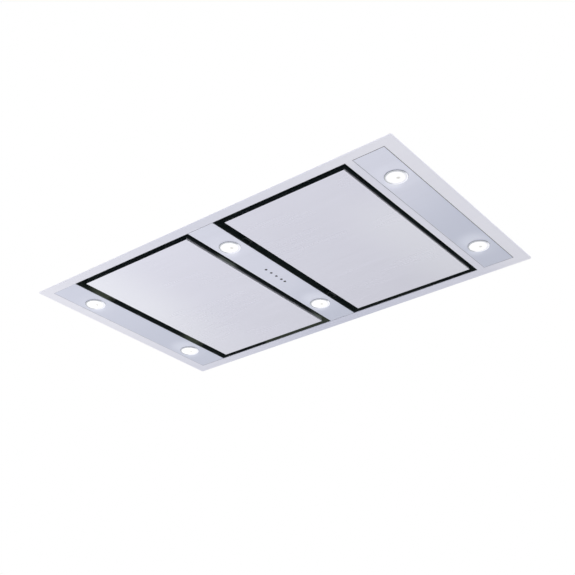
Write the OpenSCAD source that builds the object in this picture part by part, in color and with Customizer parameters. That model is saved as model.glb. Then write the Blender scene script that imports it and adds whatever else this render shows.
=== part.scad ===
// Ceiling cassette range hood with two drop-down perimeter suction panels.
// +X runs along the long side, +Y across it and +Z up into the ceiling.
// The origin is the middle of the ceiling plane, on the upper face of the frame's edge.
// Left is -X, right is +X, near is -Y and far is +Y.

/* [Ceiling frame] */
// Length of the frame
frame_w = 1200; // [1120:5:1300]
// Depth of the frame
frame_d = 700; // [660:5:760]
// Visible border on the left
border_left = 32.5; // [28:0.5:40]
// Visible border on the right
border_right = 36.5; // [30:0.5:44]
// Visible border on the near side
border_near = 28; // [26:0.5:40]
// Visible border on the far side
border_far = 34; // [26:0.5:40]
// How far the visible face hangs below the ceiling
fascia_drop = 3; // [2.5:0.5:6]
// Sheet thickness of the frame and of the fixed strips
frame_sheet = 1; // [0.8:0.1:1.2]
// Radius of the frame's outer corners
frame_corner_r = 4; // [1:0.5:8]
// Width of the returned edge that lies against the ceiling
hem_w = 10; // [6:1:18]
// Height of the upturned collar round the opening
collar_h = 26; // [20:1:36]

/* [Fixed strips] */
// Width of the left and right lamp strips
strip_w = 89.5; // [84:0.5:100]
// Width of the centre strip with the buttons
centre_w = 85; // [80:0.5:96]
// How far the centre strip lies left of the middle between the outer strips
centre_shift = 2; // [0:0.5:5]
// Width of the frame's crossbar beside the right bay
band_w = 21; // [14:1:26]
// Seam between a strip and the frame
strip_seam = 0.8; // [0.4:0.1:1]
// Height of the folded edges of a strip
strip_fold_h = 16; // [12:1:20]
// Outer radius of the folds in the visible sheets
fold_r = 1.5; // [1.2:0.1:2.5]

/* [Suction panels] */
// Air gap on the hinge side of a panel
gap_hinge = 26.5; // [22:0.5:30]
// Air gap on the free side of the left panel
gap_left_free = 21; // [12:1:28]
// Air gap on the free side of the right panel
gap_right_free = 15; // [10:1:28]
// Air gap on the near side
gap_near = 19; // [12:1:28]
// Air gap on the far side
gap_far = 18.5; // [12:0.5:28]
// How far a panel's face lies below the fixed strips
panel_proud = 1; // [0:0.5:2]
// Sheet thickness of the panel's skin
panel_sheet = 1; // [0.8:0.1:1.2]
// Height of the panel's folded edges
panel_fold_h = 14; // [12:1:18]
// Sheet thickness of the backing tray
tray_sheet = 0.8; // [0.6:0.1:1.2]
// Depth of the backing tray's own edges
tray_fold_h = 9; // [6:0.5:10]
// Gap between the backing tray and the skin's edges
tray_fit = 0.2; // [0.1:0.05:0.4]

/* [Panel hinges] */
// Radius of the hinge pins
hinge_pin_r = 2; // [1.5:0.25:2.5]
// Radial clearance of every pin, shaft and button
running_fit = 0.05; // [0.03:0.01:0.1]
// Radius of the hinge knuckles
knuckle_r = 5; // [4.5:0.25:5.5]
// Width of a hinge arm
hinge_arm_w = 24; // [18:1:32]
// Thickness of a hinge arm
hinge_arm_t = 2; // [1.5:0.25:2.5]
// Length of a hinge arm over the panel
hinge_arm_len = 60; // [45:5:90]
// Distance from the hinge pin to the panel's edge
hinge_back = 11; // [9:0.5:11]
// Distance from the panel's ends to the middle of a hinge
hinge_inset = 110; // [70:5:160]
// Thickness of the bracket's ears and back plate
ear_t = 2; // [1.5:0.25:2.5]
// Side clearance between an ear and the arm
ear_fit = 0.3; // [0.2:0.05:0.5]

/* [Magnetic catches] */
// Width of a catch
catch_w = 16; // [12:1:20]
// Distance from the panel's free edge to the catch
catch_inset = 6; // [4:1:12]
// Gap between a magnet and the panel's back
catch_gap = 0.3; // [0.2:0.1:0.5]

/* [Recess liners] */
// Sheet thickness of the black liners
liner_sheet = 1; // [0.8:0.1:1.2]
// How far a liner's lower edge stays above the visible face
liner_lip = 1.5; // [1:0.1:2.5]
// Height of the recess above the ceiling plane
recess_h = 41; // [38:1:60]
// Width of the ledge that the filter stands under
filter_ledge = 8; // [5:1:12]

/* [Grease filters] */
// Width of a filter cassette
filter_w = 318; // [300:1:330]
// Distance from the ends of a recess to its filter
filter_margin = 85; // [70:1:100]
// Thickness of a filter cassette
filter_t = 10; // [9:0.5:14]
// Gap round a filter in its well
filter_fit = 0.5; // [0.3:0.1:0.8]
// Width of the cassette's side rails
filter_rail = 14; // [12:1:20]
// Width of the rail that holds the latch
latch_rail = 22; // [20:1:28]
// Thickness of the expanded mesh
mesh_t = 2; // [1.6:0.2:3]
// Length of one diamond of the mesh
diamond_w = 26; // [22:1:36]
// Width of one diamond of the mesh
diamond_d = 24; // [20:1:36]
// Width of the strands between the diamonds
strand_w = 3; // [2:0.5:5]
// Width of the latch's tongue
latch_w = 22; // [16:1:30]
// Travel of the latch
latch_travel = 5.5; // [4.5:0.25:6]

/* [Housing] */
// Height of the housing above the ceiling plane
shell_h = 300; // [300:5:360]
// Sheet thickness of the housing
shell_sheet = 1; // [0.8:0.1:1.2]
// Gap between the housing and the frame's collar
shell_fit = 0.3; // [0.2:0.1:0.5]
// Width of the flange under the cover
shell_flange = 16; // [12:1:24]
// Height of the cover's downturned edge
cover_edge = 14; // [10:1:20]

/* [Hangers] */
// Distance from the frame's left and right ends to the stud holes
hanger_margin_x = 100; // [85:1:104]
// Distance from the frame's near and far edges to the stud holes
hanger_margin_y = 90; // [70:1:110]
// Radius of a stud hole
hanger_hole_r = 4.5; // [3.5:0.5:5.5]
// Thickness of a hanger bracket
hanger_t = 2.5; // [2:0.5:4]
// Width of a hanger bracket
hanger_w = 40; // [34:2:50]
// Rise of the bracket's tab above the cover
hanger_rise = 34; // [26:2:50]

/* [Blower] */
// Outer radius of the fan wheel
wheel_r = 80; // [74:1:82]
// Length of the fan wheel
wheel_w = 150; // [130:2:160]
// Radial depth of the blades
blade_depth = 14; // [12:0.5:16]
// Thickness of a blade
blade_t = 1; // [0.8:0.1:1.4]
// Number of blades round the wheel
blade_count = 36; // [24:1:40]
// Gap between the wheel and the scroll at the tongue
tongue_gap = 7; // [5:0.5:10]
// How much the scroll's radius grows round the wheel
scroll_growth = 46; // [40:1:48]
// Wall thickness of the scroll
scroll_wall = 1.5; // [1.2:0.1:2]
// Side gap between the wheel and the scroll
wheel_side_gap = 8; // [6:0.5:12]
// Radius of the scroll's inlet
inlet_r = 61; // [56:0.5:63]
// Radius of the inlet's rolled mouth
bell_r = 8; // [6:0.5:10]
// Gap between the scroll and the recess below it
scroll_floor_gap = 6; // [3:0.5:12]
// Angle of the tongue above the wheel's axis
tongue_angle = 55; // [48:1:60]

/* [Motor] */
// Radius of the motor
motor_r = 46; // [40:1:48]
// Length of the motor
motor_len = 104; // [98:1:116]
// Radius of the motor's shaft
shaft_r = 6; // [5:0.25:7]
// Radius of the wheel's hub
hub_r = 15; // [12:0.5:18]
// Length of the wheel's hub
hub_len = 22; // [18:1:26]
// Radius of the run capacitor
capacitor_r = 17; // [14:1:20]
// Length of the run capacitor
capacitor_len = 62; // [50:2:80]

/* [Outlet] */
// Outer radius of the outlet collar
duct_r = 74.5; // [72:0.5:75]
// Wall thickness of the outlet collar
duct_wall = 1; // [0.8:0.1:1.4]
// Height of the outlet collar above the cover
duct_h = 46; // [40:1:60]
// Width of the collar's fixing flange
duct_flange = 14; // [10:1:20]
// Height of the damper's pin above the cover
damper_rise = 16; // [12:1:22]
// Radius of the damper's pin
damper_pin_r = 2; // [1.5:0.25:2.5]
// Thickness of a damper flap
flap_t = 1; // [0.8:0.1:1.4]
// Gap between a flap and the collar
flap_fit = 0.7; // [0.5:0.1:1.2]

/* [Lamps] */
// Distance from the frame's near edge to the near row of lamps
lamp_edge = 148; // [130:1:170]
// Distance between the two rows of lamps
lamp_pitch = 404.5; // [380:0.5:420]
// Outer radius of a lamp's bezel
bezel_r = 29.5; // [28.5:0.5:34]
// Radius of the lit lens that shows
lens_r = 26; // [24:0.5:27]
// How far a bezel stands below the strip
bezel_proud = 2.4; // [1.6:0.1:3]
// How far a bezel's side slopes inwards on its way down
bezel_slope = 1.2; // [0.4:0.1:1.6]
// Height of the lamp's body above the strip
lamp_body_h = 22; // [18:1:30]

/* [Buttons] */
// Radius of a button
button_r = 2.5; // [2:0.1:3]
// Distance between the buttons
button_pitch = 22.7; // [18:0.1:26]
// Place of the first button along Y
button_first_y = -49; // [-60:0.5:-40]
// Distance from the last button to the infrared eye
eye_step = 15.7; // [14:0.1:20]
// Travel of a button
button_travel = 0.8; // [0.5:0.1:1]
// How far a button stands below the strip
button_proud = 0.9; // [0.8:0.1:1.2]

/* [Electrical parts] */
// Distance from the frame's opening to the control box
box_margin = 70; // [66:1:90]
// Width of the control box
box_w = 180; // [150:5:200]
// Depth of the control box
box_d = 120; // [100:5:140]
// Height of the control box
box_h = 50; // [45:1:60]
// Wall of the control box
box_wall = 2; // [1.5:0.1:2.5]
// Length of the lamp driver
driver_w = 160; // [140:5:180]
// Depth of the lamp driver
driver_d = 44; // [38:1:52]
// Height of the lamp driver
driver_h = 30; // [24:1:40]
// Radius of the cable gland's bore
gland_bore_r = 4.5; // [3.5:0.25:5]
// Radius of the cable gland's thread
gland_r = 10; // [9:0.25:11]

/* [Hidden] */
LAMPS = 6;
BUTTONS = 4;

$fn = 64;
eps = 0.01;
cut = 1;
seat = 0.2;

face_z = -fascia_drop;
sheet_top = face_z + frame_sheet;

open_x0 = -frame_w / 2 + border_left;
open_x1 = frame_w / 2 - border_right;
open_y0 = -frame_d / 2 + border_near;
open_y1 = frame_d / 2 - border_far;
bay_w = (open_x1 - open_x0 - 2 * strip_w - centre_w) / 2;
left_bay = [open_x0 + strip_w, open_x0 + strip_w + bay_w - centre_shift];
right_bay = [left_bay[1] + centre_w, open_x1 - strip_w - band_w];
band_x = [right_bay[1], right_bay[1] + band_w];

panel_z = face_z - panel_proud;
panel_top = panel_z + panel_fold_h;
panel_y = [open_y0 + gap_near, open_y1 - gap_far];
left_panel = [left_bay[0] + gap_hinge, left_bay[1] - gap_left_free];
right_panel = [right_bay[0] + gap_hinge, right_bay[1] - gap_right_free];

hinge_z = panel_top + hinge_arm_t - knuckle_r;
hinge_y = [panel_y[0] + hinge_inset, panel_y[1] - hinge_inset];
ear_half = hinge_arm_w / 2 + ear_fit;
plate_side = 10;
plate_low = 6;
plate_high = 10;

liner_z0 = face_z + liner_lip;
filter_gap = 0.3;
filter_z = recess_h - 0.5;
filter_top = filter_z + filter_t;
well_top = filter_top + filter_gap + liner_sheet;
filter_y = [open_y0 + filter_margin, open_y1 - filter_margin];
latch_z = [filter_z + 2.8, filter_z + 5.2];
latch_reach = 4;
latch_room = 0.3;
latch_in = 11.5;
tab_half = 6;
tab_drop = 6;
tab_y = [5, 8];
tab_room = 1;
tab_end_room = 1.5;
hook_w = 30;
hook_inset = 60;
slot_room = 1;
latch_slot_room = 1.5;
mesh_grip = 4;
mesh_near_grip = 1.8;

cover_sheet = shell_sheet;
cover_fit = seat;
cover_top = shell_h + cover_sheet;
cover_grow = shell_sheet + cover_fit + cover_sheet;
screw_r = 2;
screw_head_r = 4;
screw_head_h = 2.4;
screw_len = 6;
screw_inset = 20;
screw_last = 4;
screw_step = (open_x1 - open_x0 - 2 * screw_inset) / screw_last;
screw_x = [for (i = [0:screw_last]) open_x0 + screw_inset + i * screw_step];
screw_y = [open_y0 + shell_flange / 2 - shell_fit, open_y1 - shell_flange / 2 + shell_fit];

blade_mid_r = wheel_r - blade_depth / 2;
scroll_r0 = wheel_r + tongue_gap;
scroll_r1 = scroll_r0 + scroll_growth;
scroll_low = scroll_radius(270);
scroll_half_w = wheel_w / 2 + wheel_side_gap + scroll_wall;
blower_z = well_top + scroll_floor_gap + scroll_low + scroll_wall;
mouth_v = shell_h - blower_z;
mouth_u1 = scroll_r1;
mouth_u0 = mouth_u1 - 2 * (duct_r - duct_wall) - 3;
blower_y = -(mouth_u0 + mouth_u1) / 2;
rim_w = 8;
mouth_neck = 8;
tongue_depth = 14;

motor_x0 = hub_len / 2 + 2;
motor_x1 = motor_x0 + motor_len;
shaft_x = [-hub_len / 2 - 4, motor_x1 + 8];
bracket_x = scroll_half_w + bell_r + 4;
bracket_t = 2.5;
foot_r = inlet_r + bell_r + 9;
capacitor_place = [scroll_half_w + 70, blower_y - 40];

damper_z = cover_top + damper_rise;
flap_r = duct_r - duct_wall - flap_fit;
knuckle_tube_r = damper_pin_r + 2;
flap_edge = knuckle_tube_r + 1;
ear_x = flap_r - 6;
socket_floor = 0.4;
duct_flange_t = 1.2;
stop_w = 8;
stop_t = 1.5;
stop_top = damper_z - flap_t / 2 - seat;
near_knuckle = 48;
far_knuckle = 28;

lamp_x = [(open_x0 + left_bay[0]) / 2, (left_bay[1] + right_bay[0]) / 2, (band_x[1] + open_x1) / 2];
lamp_y = [-frame_d / 2 + lamp_edge, -frame_d / 2 + lamp_edge + lamp_pitch];
sleeve_in = lens_r + 0.9;
sleeve_out = sleeve_in + 1;
lamp_hole_r = sleeve_out + 0.3;
sleeve_top = sheet_top + 8;
bezel_lip = 0.5;
bezel_edge = 0.4;
lens_t = 2.2;
lens_z = face_z - bezel_proud + bezel_lip;

centre_x = (left_bay[1] + right_bay[0]) / 2;
button_y = [for (i = [0:BUTTONS - 1]) button_first_y + i * button_pitch];
eye_y = button_y[BUTTONS - 1] + eye_step;
button_edge = 0.5;
button_flange_r = button_r + 1.2;
button_flange_t = 0.8;
stem_r = 1.2;
stem_top = sheet_top + 4.5;
switch_low = stem_top - 1.5;
board_z = switch_low + 4;
board_t = 1.6;
board_half = 20;
board_end = 16;
switch_half = 3.5;
stud_half = 14;
stud_end = 8;
stud_r = 2.5;

box_x0 = open_x0 + box_margin;
box_y0 = open_y0 + shell_flange;
box_top = shell_h - seat;
driver_y0 = box_y0 + box_d + 30;
lid_post_h = 7;
lid_post_inset = 16;
board_edge = 8;
relay_size = [18, 14, 14];
relay_pitch = 22;
transformer_size = [40, 36, 18];
terminal_size = [14, 70, 11];
gland = [box_x0 + box_w / 2, box_y0 + box_d / 2];

steel = [0.86, 0.85, 0.89];
strip_steel = [0.80, 0.82, 0.86];
panel_steel = [0.88, 0.87, 0.90];
black = [0.07, 0.08, 0.08];
zinc = [0.66, 0.68, 0.70];
aluminium = [0.74, 0.75, 0.77];
dark_plastic = [0.12, 0.12, 0.14];
white = [0.98, 0.98, 0.98];

// The scroll's radius at an angle round the wheel, growing from the tongue
function scroll_radius(a) = scroll_r0 + scroll_growth * (a - tongue_angle) / (360 - tongue_angle);

// A block between two opposite corners
module block(a, b) {
  translate(a) cube(b - a);
}

// A section from u0 to u1 and v0 to v1 with its two lower corners rounded
module folded_section(u0, u1, v0, v1, r) {
  translate([u0, v0 + r]) square([u1 - u0, v1 - v0 - r]);
  translate([u0 + r, v0]) square([u1 - u0 - 2 * r, v1 - v0]);
  for (u = [u0 + r, u1 - r]) translate([u, v0 + r]) circle(r);
}

// A block whose lower edges are rounded all round
module folded_block(a, b, z0, z1, r) intersection() {
  translate([0, b[1], 0]) rotate([90, 0, 0]) linear_extrude(b[1] - a[1])
    folded_section(a[0], b[0], z0, z1, r);
  translate([a[0], 0, 0]) rotate([90, 0, 90]) linear_extrude(b[0] - a[0])
    folded_section(a[1], b[1], z0, z1, r);
}

// A folded tray with its face down
module tray(a, b, z, h, t) difference() {
  folded_block(a, b, z, z + h, fold_r);
  folded_block(a + [t, t], b - [t, t], z + t, z + h + cut, fold_r - t);
}

// A rectangle with rounded corners
module round_rect(w, d, r) {
  square([w - 2 * r, d], center = true);
  square([w, d - 2 * r], center = true);
  for (x = [-1, 1], y = [-1, 1]) {
    translate([x * (w / 2 - r), y * (d / 2 - r)]) circle(r);
  }
}

module frame_outline(inset) {
  round_rect(frame_w - 2 * inset, frame_d - 2 * inset, max(frame_corner_r - inset, 0.5));
}

module opening_outline(grow) {
  translate([open_x0 - grow, open_y0 - grow])
    square([open_x1 - open_x0 + 2 * grow, open_y1 - open_y0 + 2 * grow]);
}

// Flat border with a folded outer edge, a collar round the opening and the crossbar
module ceiling_frame() color(steel) {
  translate([0, 0, face_z]) linear_extrude(frame_sheet) difference() {
    frame_outline(0);
    opening_outline(0);
  }
  translate([0, 0, face_z]) linear_extrude(fascia_drop) difference() {
    frame_outline(0);
    frame_outline(frame_sheet);
  }
  translate([0, 0, -frame_sheet]) linear_extrude(frame_sheet) difference() {
    frame_outline(0);
    frame_outline(hem_w);
  }
  translate([0, 0, face_z]) linear_extrude(collar_h - face_z) difference() {
    opening_outline(frame_sheet);
    opening_outline(0);
  }
  translate([0, open_y1 + frame_sheet / 2, 0]) rotate([90, 0, 0])
    linear_extrude(open_y1 - open_y0 + frame_sheet) difference() {
      folded_section(band_x[0], band_x[1], face_z, strip_fold_h, fold_r);
      folded_section(band_x[0] + frame_sheet, band_x[1] - frame_sheet,
                     sheet_top, strip_fold_h + cut, fold_r - frame_sheet);
    }
}

// A fixed strip between x0 and x1 with its lamp holes
module strip(x0, x1, lamp) {
  difference() {
    tray([x0, open_y0 + strip_seam], [x1, open_y1 - strip_seam],
         face_z, strip_fold_h - face_z, frame_sheet);
    for (y = lamp_y) {
      translate([lamp_x[lamp], y, face_z - cut]) cylinder(r = lamp_hole_r, h = frame_sheet + 2 * cut);
    }
  }
}

module left_light_strip() color(strip_steel) strip(open_x0 + strip_seam, left_bay[0], 0);

module right_light_strip() color(strip_steel) strip(band_x[1] + strip_seam, open_x1 - strip_seam, 2);

module centre_strip() color(strip_steel) {
  difference() {
    strip(left_bay[1], right_bay[0], 1);
    for (y = concat(button_y, [eye_y])) {
      translate([centre_x, y, face_z - cut])
        cylinder(r = button_r + running_fit, h = frame_sheet + 2 * cut);
    }
  }
  for (x = [-stud_half, stud_half], y = [button_y[0] - stud_end, eye_y + stud_end]) {
    translate([centre_x + x, y, sheet_top - eps]) cylinder(r = stud_r, h = board_z - sheet_top + eps);
  }
}

function filter_x(bay) = [(bay[0] + bay[1] - filter_w) / 2, (bay[0] + bay[1] + filter_w) / 2];

// Black pan over a bay, with the stepped well that holds the filter
module recess_liner(bay) color(black) {
  fx = filter_x(bay);
  t = liner_sheet;
  well_a = [fx[0] - filter_fit, filter_y[0] - filter_fit];
  well_b = [fx[1] + filter_fit, filter_y[1] + filter_fit];
  mid = (fx[0] + fx[1]) / 2;
  latch_half = latch_w / 2 + latch_slot_room;
  hook_half = hook_w / 2 + slot_room;
  slot_z = [latch_z[0] - slot_room, latch_z[1] + slot_room];
  difference() {
    union() {
      difference() {
        block([bay[0], open_y0, liner_z0], [bay[1], open_y1, recess_h]);
        block([bay[0] + t, open_y0 + t, liner_z0 - cut], [bay[1] - t, open_y1 - t, recess_h - t]);
      }
      block([well_a[0] - t, well_a[1] - t, recess_h - t], [well_b[0] + t, well_b[1] + t, well_top]);
    }
    block([well_a[0], well_a[1], recess_h - t - cut], [well_b[0], well_b[1], well_top - t]);
    block([well_a[0] + filter_ledge, well_a[1] + filter_ledge, recess_h],
          [well_b[0] - filter_ledge, well_b[1] - filter_ledge, well_top + cut]);
    block([mid - latch_half, well_a[1] - t - cut, slot_z[0]],
          [mid + latch_half, well_a[1] + cut, slot_z[1]]);
    for (x = hook_x(bay)) {
      block([x - hook_half, well_b[1] - cut, slot_z[0]], [x + hook_half, well_b[1] + t + cut, slot_z[1]]);
    }
  }
}

function hook_x(bay) = [filter_x(bay)[0] + hook_inset, filter_x(bay)[1] - hook_inset];

module left_recess_liner() recess_liner(left_bay);

module right_recess_liner() recess_liner(right_bay);

module shell_outline(grow) {
  opening_outline(frame_sheet + shell_fit + grow);
}

// Four walls round the frame's collar, with a flange for the cover
module housing_shell() color(zinc) difference() {
  union() {
    translate([0, 0, cover_fit]) linear_extrude(shell_h - cover_fit) difference() {
      shell_outline(shell_sheet);
      shell_outline(0);
    }
    translate([0, 0, shell_h - shell_sheet]) linear_extrude(shell_sheet) difference() {
      shell_outline(shell_sheet);
      shell_outline(-shell_flange);
    }
  }
  screw_holes();
}

module top_cover() color(zinc) difference() {
  union() {
    translate([0, 0, shell_h]) linear_extrude(cover_sheet) shell_outline(cover_grow);
    translate([0, 0, shell_h - cover_edge]) linear_extrude(cover_edge + cover_sheet) difference() {
      shell_outline(cover_grow);
      shell_outline(cover_grow - cover_sheet);
    }
  }
  translate([0, 0, shell_h - cut]) cylinder(r = duct_r - duct_wall, h = cover_sheet + 2 * cut, $fn = 96);
  translate([gland[0], gland[1], shell_h - cut]) cylinder(r = gland_r + seat, h = cover_sheet + 2 * cut);
  screw_holes();
}

module screw_places() {
  for (x = screw_x, y = screw_y) translate([x, y, cover_top]) children();
}

module screw_holes() {
  screw_places() translate([0, 0, -screw_len]) cylinder(r = screw_r + seat, h = screw_len + cut, $fn = 24);
}

// Pan-head screws that hold the cover on the housing
module cover_screws() color(aluminium) screw_places() {
  cross_half = 2.4;
  cross_w = 0.8;
  translate([0, 0, -screw_len]) cylinder(r = screw_r, h = screw_len + eps, $fn = 24);
  difference() {
    rotate_extrude($fn = 32) polygon([
      [0, 0], [screw_head_r, 0], [screw_head_r, screw_head_h * 0.4],
      [screw_head_r * 0.75, screw_head_h * 0.9], [0, screw_head_h]]);
    for (a = [0, 90]) rotate(a) translate([-cross_half, -cross_w / 2, screw_head_h / 2])
      cube([2 * cross_half, cross_w, screw_head_h]);
  }
}

// Z-shaped brackets on the cover, with a hole for a threaded stud
module hanger_brackets() color(zinc) {
  for (sx = [-1, 1], sy = [-1, 1]) {
    at = [sx * (frame_w / 2 - hanger_margin_x), sy * (frame_d / 2 - hanger_margin_y), cover_top];
    translate(at) mirror([sx < 0 ? 1 : 0, 0, 0]) hanger_bracket();
  }
}

module hanger_bracket() difference() {
  tab = 15;
  foot = 46;
  under = hanger_rise - hanger_t;
  translate([0, hanger_w / 2, 0]) rotate([90, 0, 0]) linear_extrude(hanger_w) polygon([
    [-tab - foot, 0], [-tab, 0], [-tab, under], [tab, under], [tab, hanger_rise],
    [-tab - hanger_t, hanger_rise], [-tab - hanger_t, hanger_t], [-tab - foot, hanger_t]]);
  cylinder(r = hanger_hole_r, h = hanger_rise + cut);
}

module suction_panel(px) color(panel_steel)
  tray([px[0], panel_y[0]], [px[1], panel_y[1]], panel_z, panel_fold_h, panel_sheet);

module left_suction_panel() suction_panel(left_panel);

module right_suction_panel() suction_panel(right_panel);

// Inverted tray that closes the back of a panel
module panel_tray(px) color(zinc) {
  inset = panel_sheet + tray_fit;
  a = [px[0] + inset, panel_y[0] + inset];
  b = [px[1] - inset, panel_y[1] - inset];
  low = panel_top - tray_fold_h;
  t = tray_sheet;
  difference() {
    block([a[0], a[1], low], [b[0], b[1], panel_top]);
    block([a[0] + t, a[1] + t, low - cut], [b[0] - t, b[1] - t, panel_top - t]);
  }
}

module left_panel_tray() panel_tray(left_panel);

module right_panel_tray() panel_tray(right_panel);

// Strap arms that lie on the panel's back and end in a knuckle
module hinge_arms(px) color(black) for (y = hinge_y) {
  pin_x = px[0] - hinge_back;
  difference() {
    union() {
      block([pin_x, y - hinge_arm_w / 2, panel_top],
            [px[0] + hinge_arm_len, y + hinge_arm_w / 2, panel_top + hinge_arm_t]);
      translate([pin_x, y + hinge_arm_w / 2, hinge_z]) rotate([90, 0, 0])
        cylinder(r = knuckle_r, h = hinge_arm_w);
    }
    translate([pin_x, y + hinge_arm_w, hinge_z]) rotate([90, 0, 0])
      cylinder(r = hinge_pin_r + running_fit, h = 2 * hinge_arm_w);
  }
}

module left_hinge_arms() hinge_arms(left_panel);

module right_hinge_arms() hinge_arms(right_panel);

// Ears on the liners that carry the hinge pins
module hinge_brackets() color(black) {
  for (side = [[left_bay, left_panel], [right_bay, right_panel]], y = hinge_y) {
    hinge_bracket(side[0][0] + liner_sheet, side[1][0] - hinge_back, y);
  }
}

module hinge_bracket(wall_x, pin_x, y) difference() {
  union() {
    block([wall_x, y - ear_half - plate_side, hinge_z - plate_low],
          [wall_x + ear_t, y + ear_half + plate_side, hinge_z + plate_high]);
    for (s = [-1, 1]) translate([0, y + s * (ear_half + ear_t / 2), 0]) {
      block([wall_x + ear_t / 2, -ear_t / 2, hinge_z - knuckle_r], [pin_x, ear_t / 2, hinge_z + knuckle_r]);
      translate([pin_x, ear_t / 2, hinge_z]) rotate([90, 0, 0]) cylinder(r = knuckle_r, h = ear_t);
    }
  }
  translate([pin_x, y + ear_half + 2 * ear_t, hinge_z]) rotate([90, 0, 0])
    cylinder(r = hinge_pin_r + running_fit, h = 2 * ear_half + 4 * ear_t);
}

module hinge_pins() color(black) for (px = [left_panel, right_panel], y = hinge_y) {
  play = 0.3;
  head_r = hinge_pin_r + 1.4;
  head_t = 1.2;
  half = ear_half + ear_t + play;
  translate([px[0] - hinge_back, y + half, hinge_z]) rotate([90, 0, 0]) {
    cylinder(r = hinge_pin_r, h = 2 * half);
    translate([0, 0, -head_t]) cylinder(r = head_r, h = head_t + eps);
    translate([0, 0, 2 * half - eps]) cylinder(r = head_r, h = head_t);
  }
}

// Magnets on posts under the liners, over the panels' free edges
module catch_magnets() color(dark_plastic) for (px = [left_panel, right_panel], y = hinge_y) {
  magnet_t = 8;
  base_t = 2;
  post_half = 3;
  x0 = px[1] - catch_inset - catch_w;
  mid = x0 + catch_w / 2;
  low = panel_top + catch_gap;
  top = recess_h - liner_sheet;
  block([x0, y - catch_w, low], [x0 + catch_w, y + catch_w, low + magnet_t]);
  block([mid - post_half, y - catch_w / 2, low], [mid + post_half, y + catch_w / 2, top]);
  block([x0, y - catch_w, top - base_t], [x0 + catch_w, y + catch_w, top]);
}

// Channel frame of a filter, with its hooks and the pocket for the latch
module filter_frame(bay) color(aluminium) {
  fx = filter_x(bay);
  fy = filter_y;
  mid = (fx[0] + fx[1]) / 2;
  mesh_z = filter_z + filter_t / 2;
  groove = mesh_t / 2 + seat / 2;
  grip = mesh_grip + seat;
  pocket_half = latch_w / 2 + latch_room;
  tab_slot_half = tab_half + tab_room;
  difference() {
    block([fx[0], fy[0], filter_z], [fx[1], fy[1], filter_top]);
    block([fx[0] + filter_rail, fy[0] + latch_rail, filter_z - cut],
          [fx[1] - filter_rail, fy[1] - filter_rail, filter_top + cut]);
    block([fx[0] + filter_rail - grip, fy[0] + latch_rail - mesh_near_grip - seat, mesh_z - groove],
          [fx[1] - filter_rail + grip, fy[1] - filter_rail + grip, mesh_z + groove]);
    block([mid - pocket_half, fy[0] - cut, latch_z[0] - seat],
          [mid + pocket_half, fy[0] + latch_in + latch_travel + tab_room, latch_z[1] + seat]);
    block([mid - tab_slot_half, fy[0] + tab_y[0] - tab_room, filter_z - cut],
          [mid + tab_slot_half, fy[0] + tab_y[1] + latch_travel + tab_end_room, latch_z[0]]);
  }
  for (x = hook_x(bay)) {
    block([x - hook_w / 2, fy[1] - cut, latch_z[0]], [x + hook_w / 2, fy[1] + latch_reach, latch_z[1]]);
  }
}

module left_filter_frame() filter_frame(left_bay);

module right_filter_frame() filter_frame(right_bay);

// Expanded metal with staggered diamonds
module filter_mesh(bay) color(aluminium) {
  fx = filter_x(bay);
  x0 = fx[0] + filter_rail - mesh_grip;
  x1 = fx[1] - filter_rail + mesh_grip;
  y0 = filter_y[0] + latch_rail - mesh_near_grip;
  y1 = filter_y[1] - filter_rail + mesh_grip;
  edge = 8;
  cols = floor((x1 - x0 - 2 * edge) / diamond_w);
  rows = floor((y1 - y0 - 2 * edge) / (diamond_d / 2)) - 1;
  left = (x0 + x1 - cols * diamond_w) / 2;
  low = (y0 + y1 - (rows + 1) * diamond_d / 2) / 2;
  translate([0, 0, filter_z + filter_t / 2 - mesh_t / 2]) linear_extrude(mesh_t) difference() {
    translate([x0, y0]) square([x1 - x0, y1 - y0]);
    for (row = [0:rows - 1], col = [0:cols - 1 - row % 2]) {
      translate([left + (col + 0.5 + (row % 2) / 2) * diamond_w, low + (row + 1) * diamond_d / 2])
        diamond(diamond_w / 2 - strand_w * 0.6, diamond_d / 2 - strand_w * 0.6);
    }
  }
}

module diamond(a, b) {
  polygon([[a, 0], [0, b], [-a, 0], [0, -b]]);
}

module left_filter_mesh() filter_mesh(left_bay);

module right_filter_mesh() filter_mesh(right_bay);

// Sprung bolt with a finger tab, which slides out of the filter's rail
module filter_latch(bay) color(dark_plastic) {
  mid = (bay[0] + bay[1]) / 2;
  y0 = filter_y[0];
  bead_r = (tab_y[1] - tab_y[0]) / 2;
  block([mid - latch_w / 2, y0 - latch_reach, latch_z[0]], [mid + latch_w / 2, y0 + latch_in, latch_z[1]]);
  block([mid - tab_half, y0 + tab_y[0], filter_z - tab_drop],
        [mid + tab_half, y0 + tab_y[1], latch_z[0] + eps]);
  translate([mid - tab_half, y0 + tab_y[0] + bead_r, filter_z - tab_drop]) rotate([0, 90, 0])
    cylinder(r = bead_r, h = 2 * tab_half, $fn = 32);
}

module left_filter_latch() filter_latch(left_bay);

module right_filter_latch() filter_latch(right_bay);

// Outline of the scroll in the plane across the wheel's axis, shrunk by a wall's thickness.
// It runs round the spiral from the tongue, up the mouth and back down to the tongue.
function scroll_points(wall) = concat(
  [(scroll_r0 - wall) * unit(tongue_angle - degrees(wall))],
  [for (a = [tongue_angle:5:359]) (scroll_radius(a) - wall) * unit(a)],
  [[mouth_u1 - wall, 0], [mouth_u1 - wall, mouth_v + wall], [mouth_u0 + wall, mouth_v + wall],
   [mouth_u0 + wall, mouth_v - mouth_neck + wall],
   (scroll_r0 + tongue_depth + 1.5 * wall) * unit(tongue_angle - degrees(wall))]);

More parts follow.
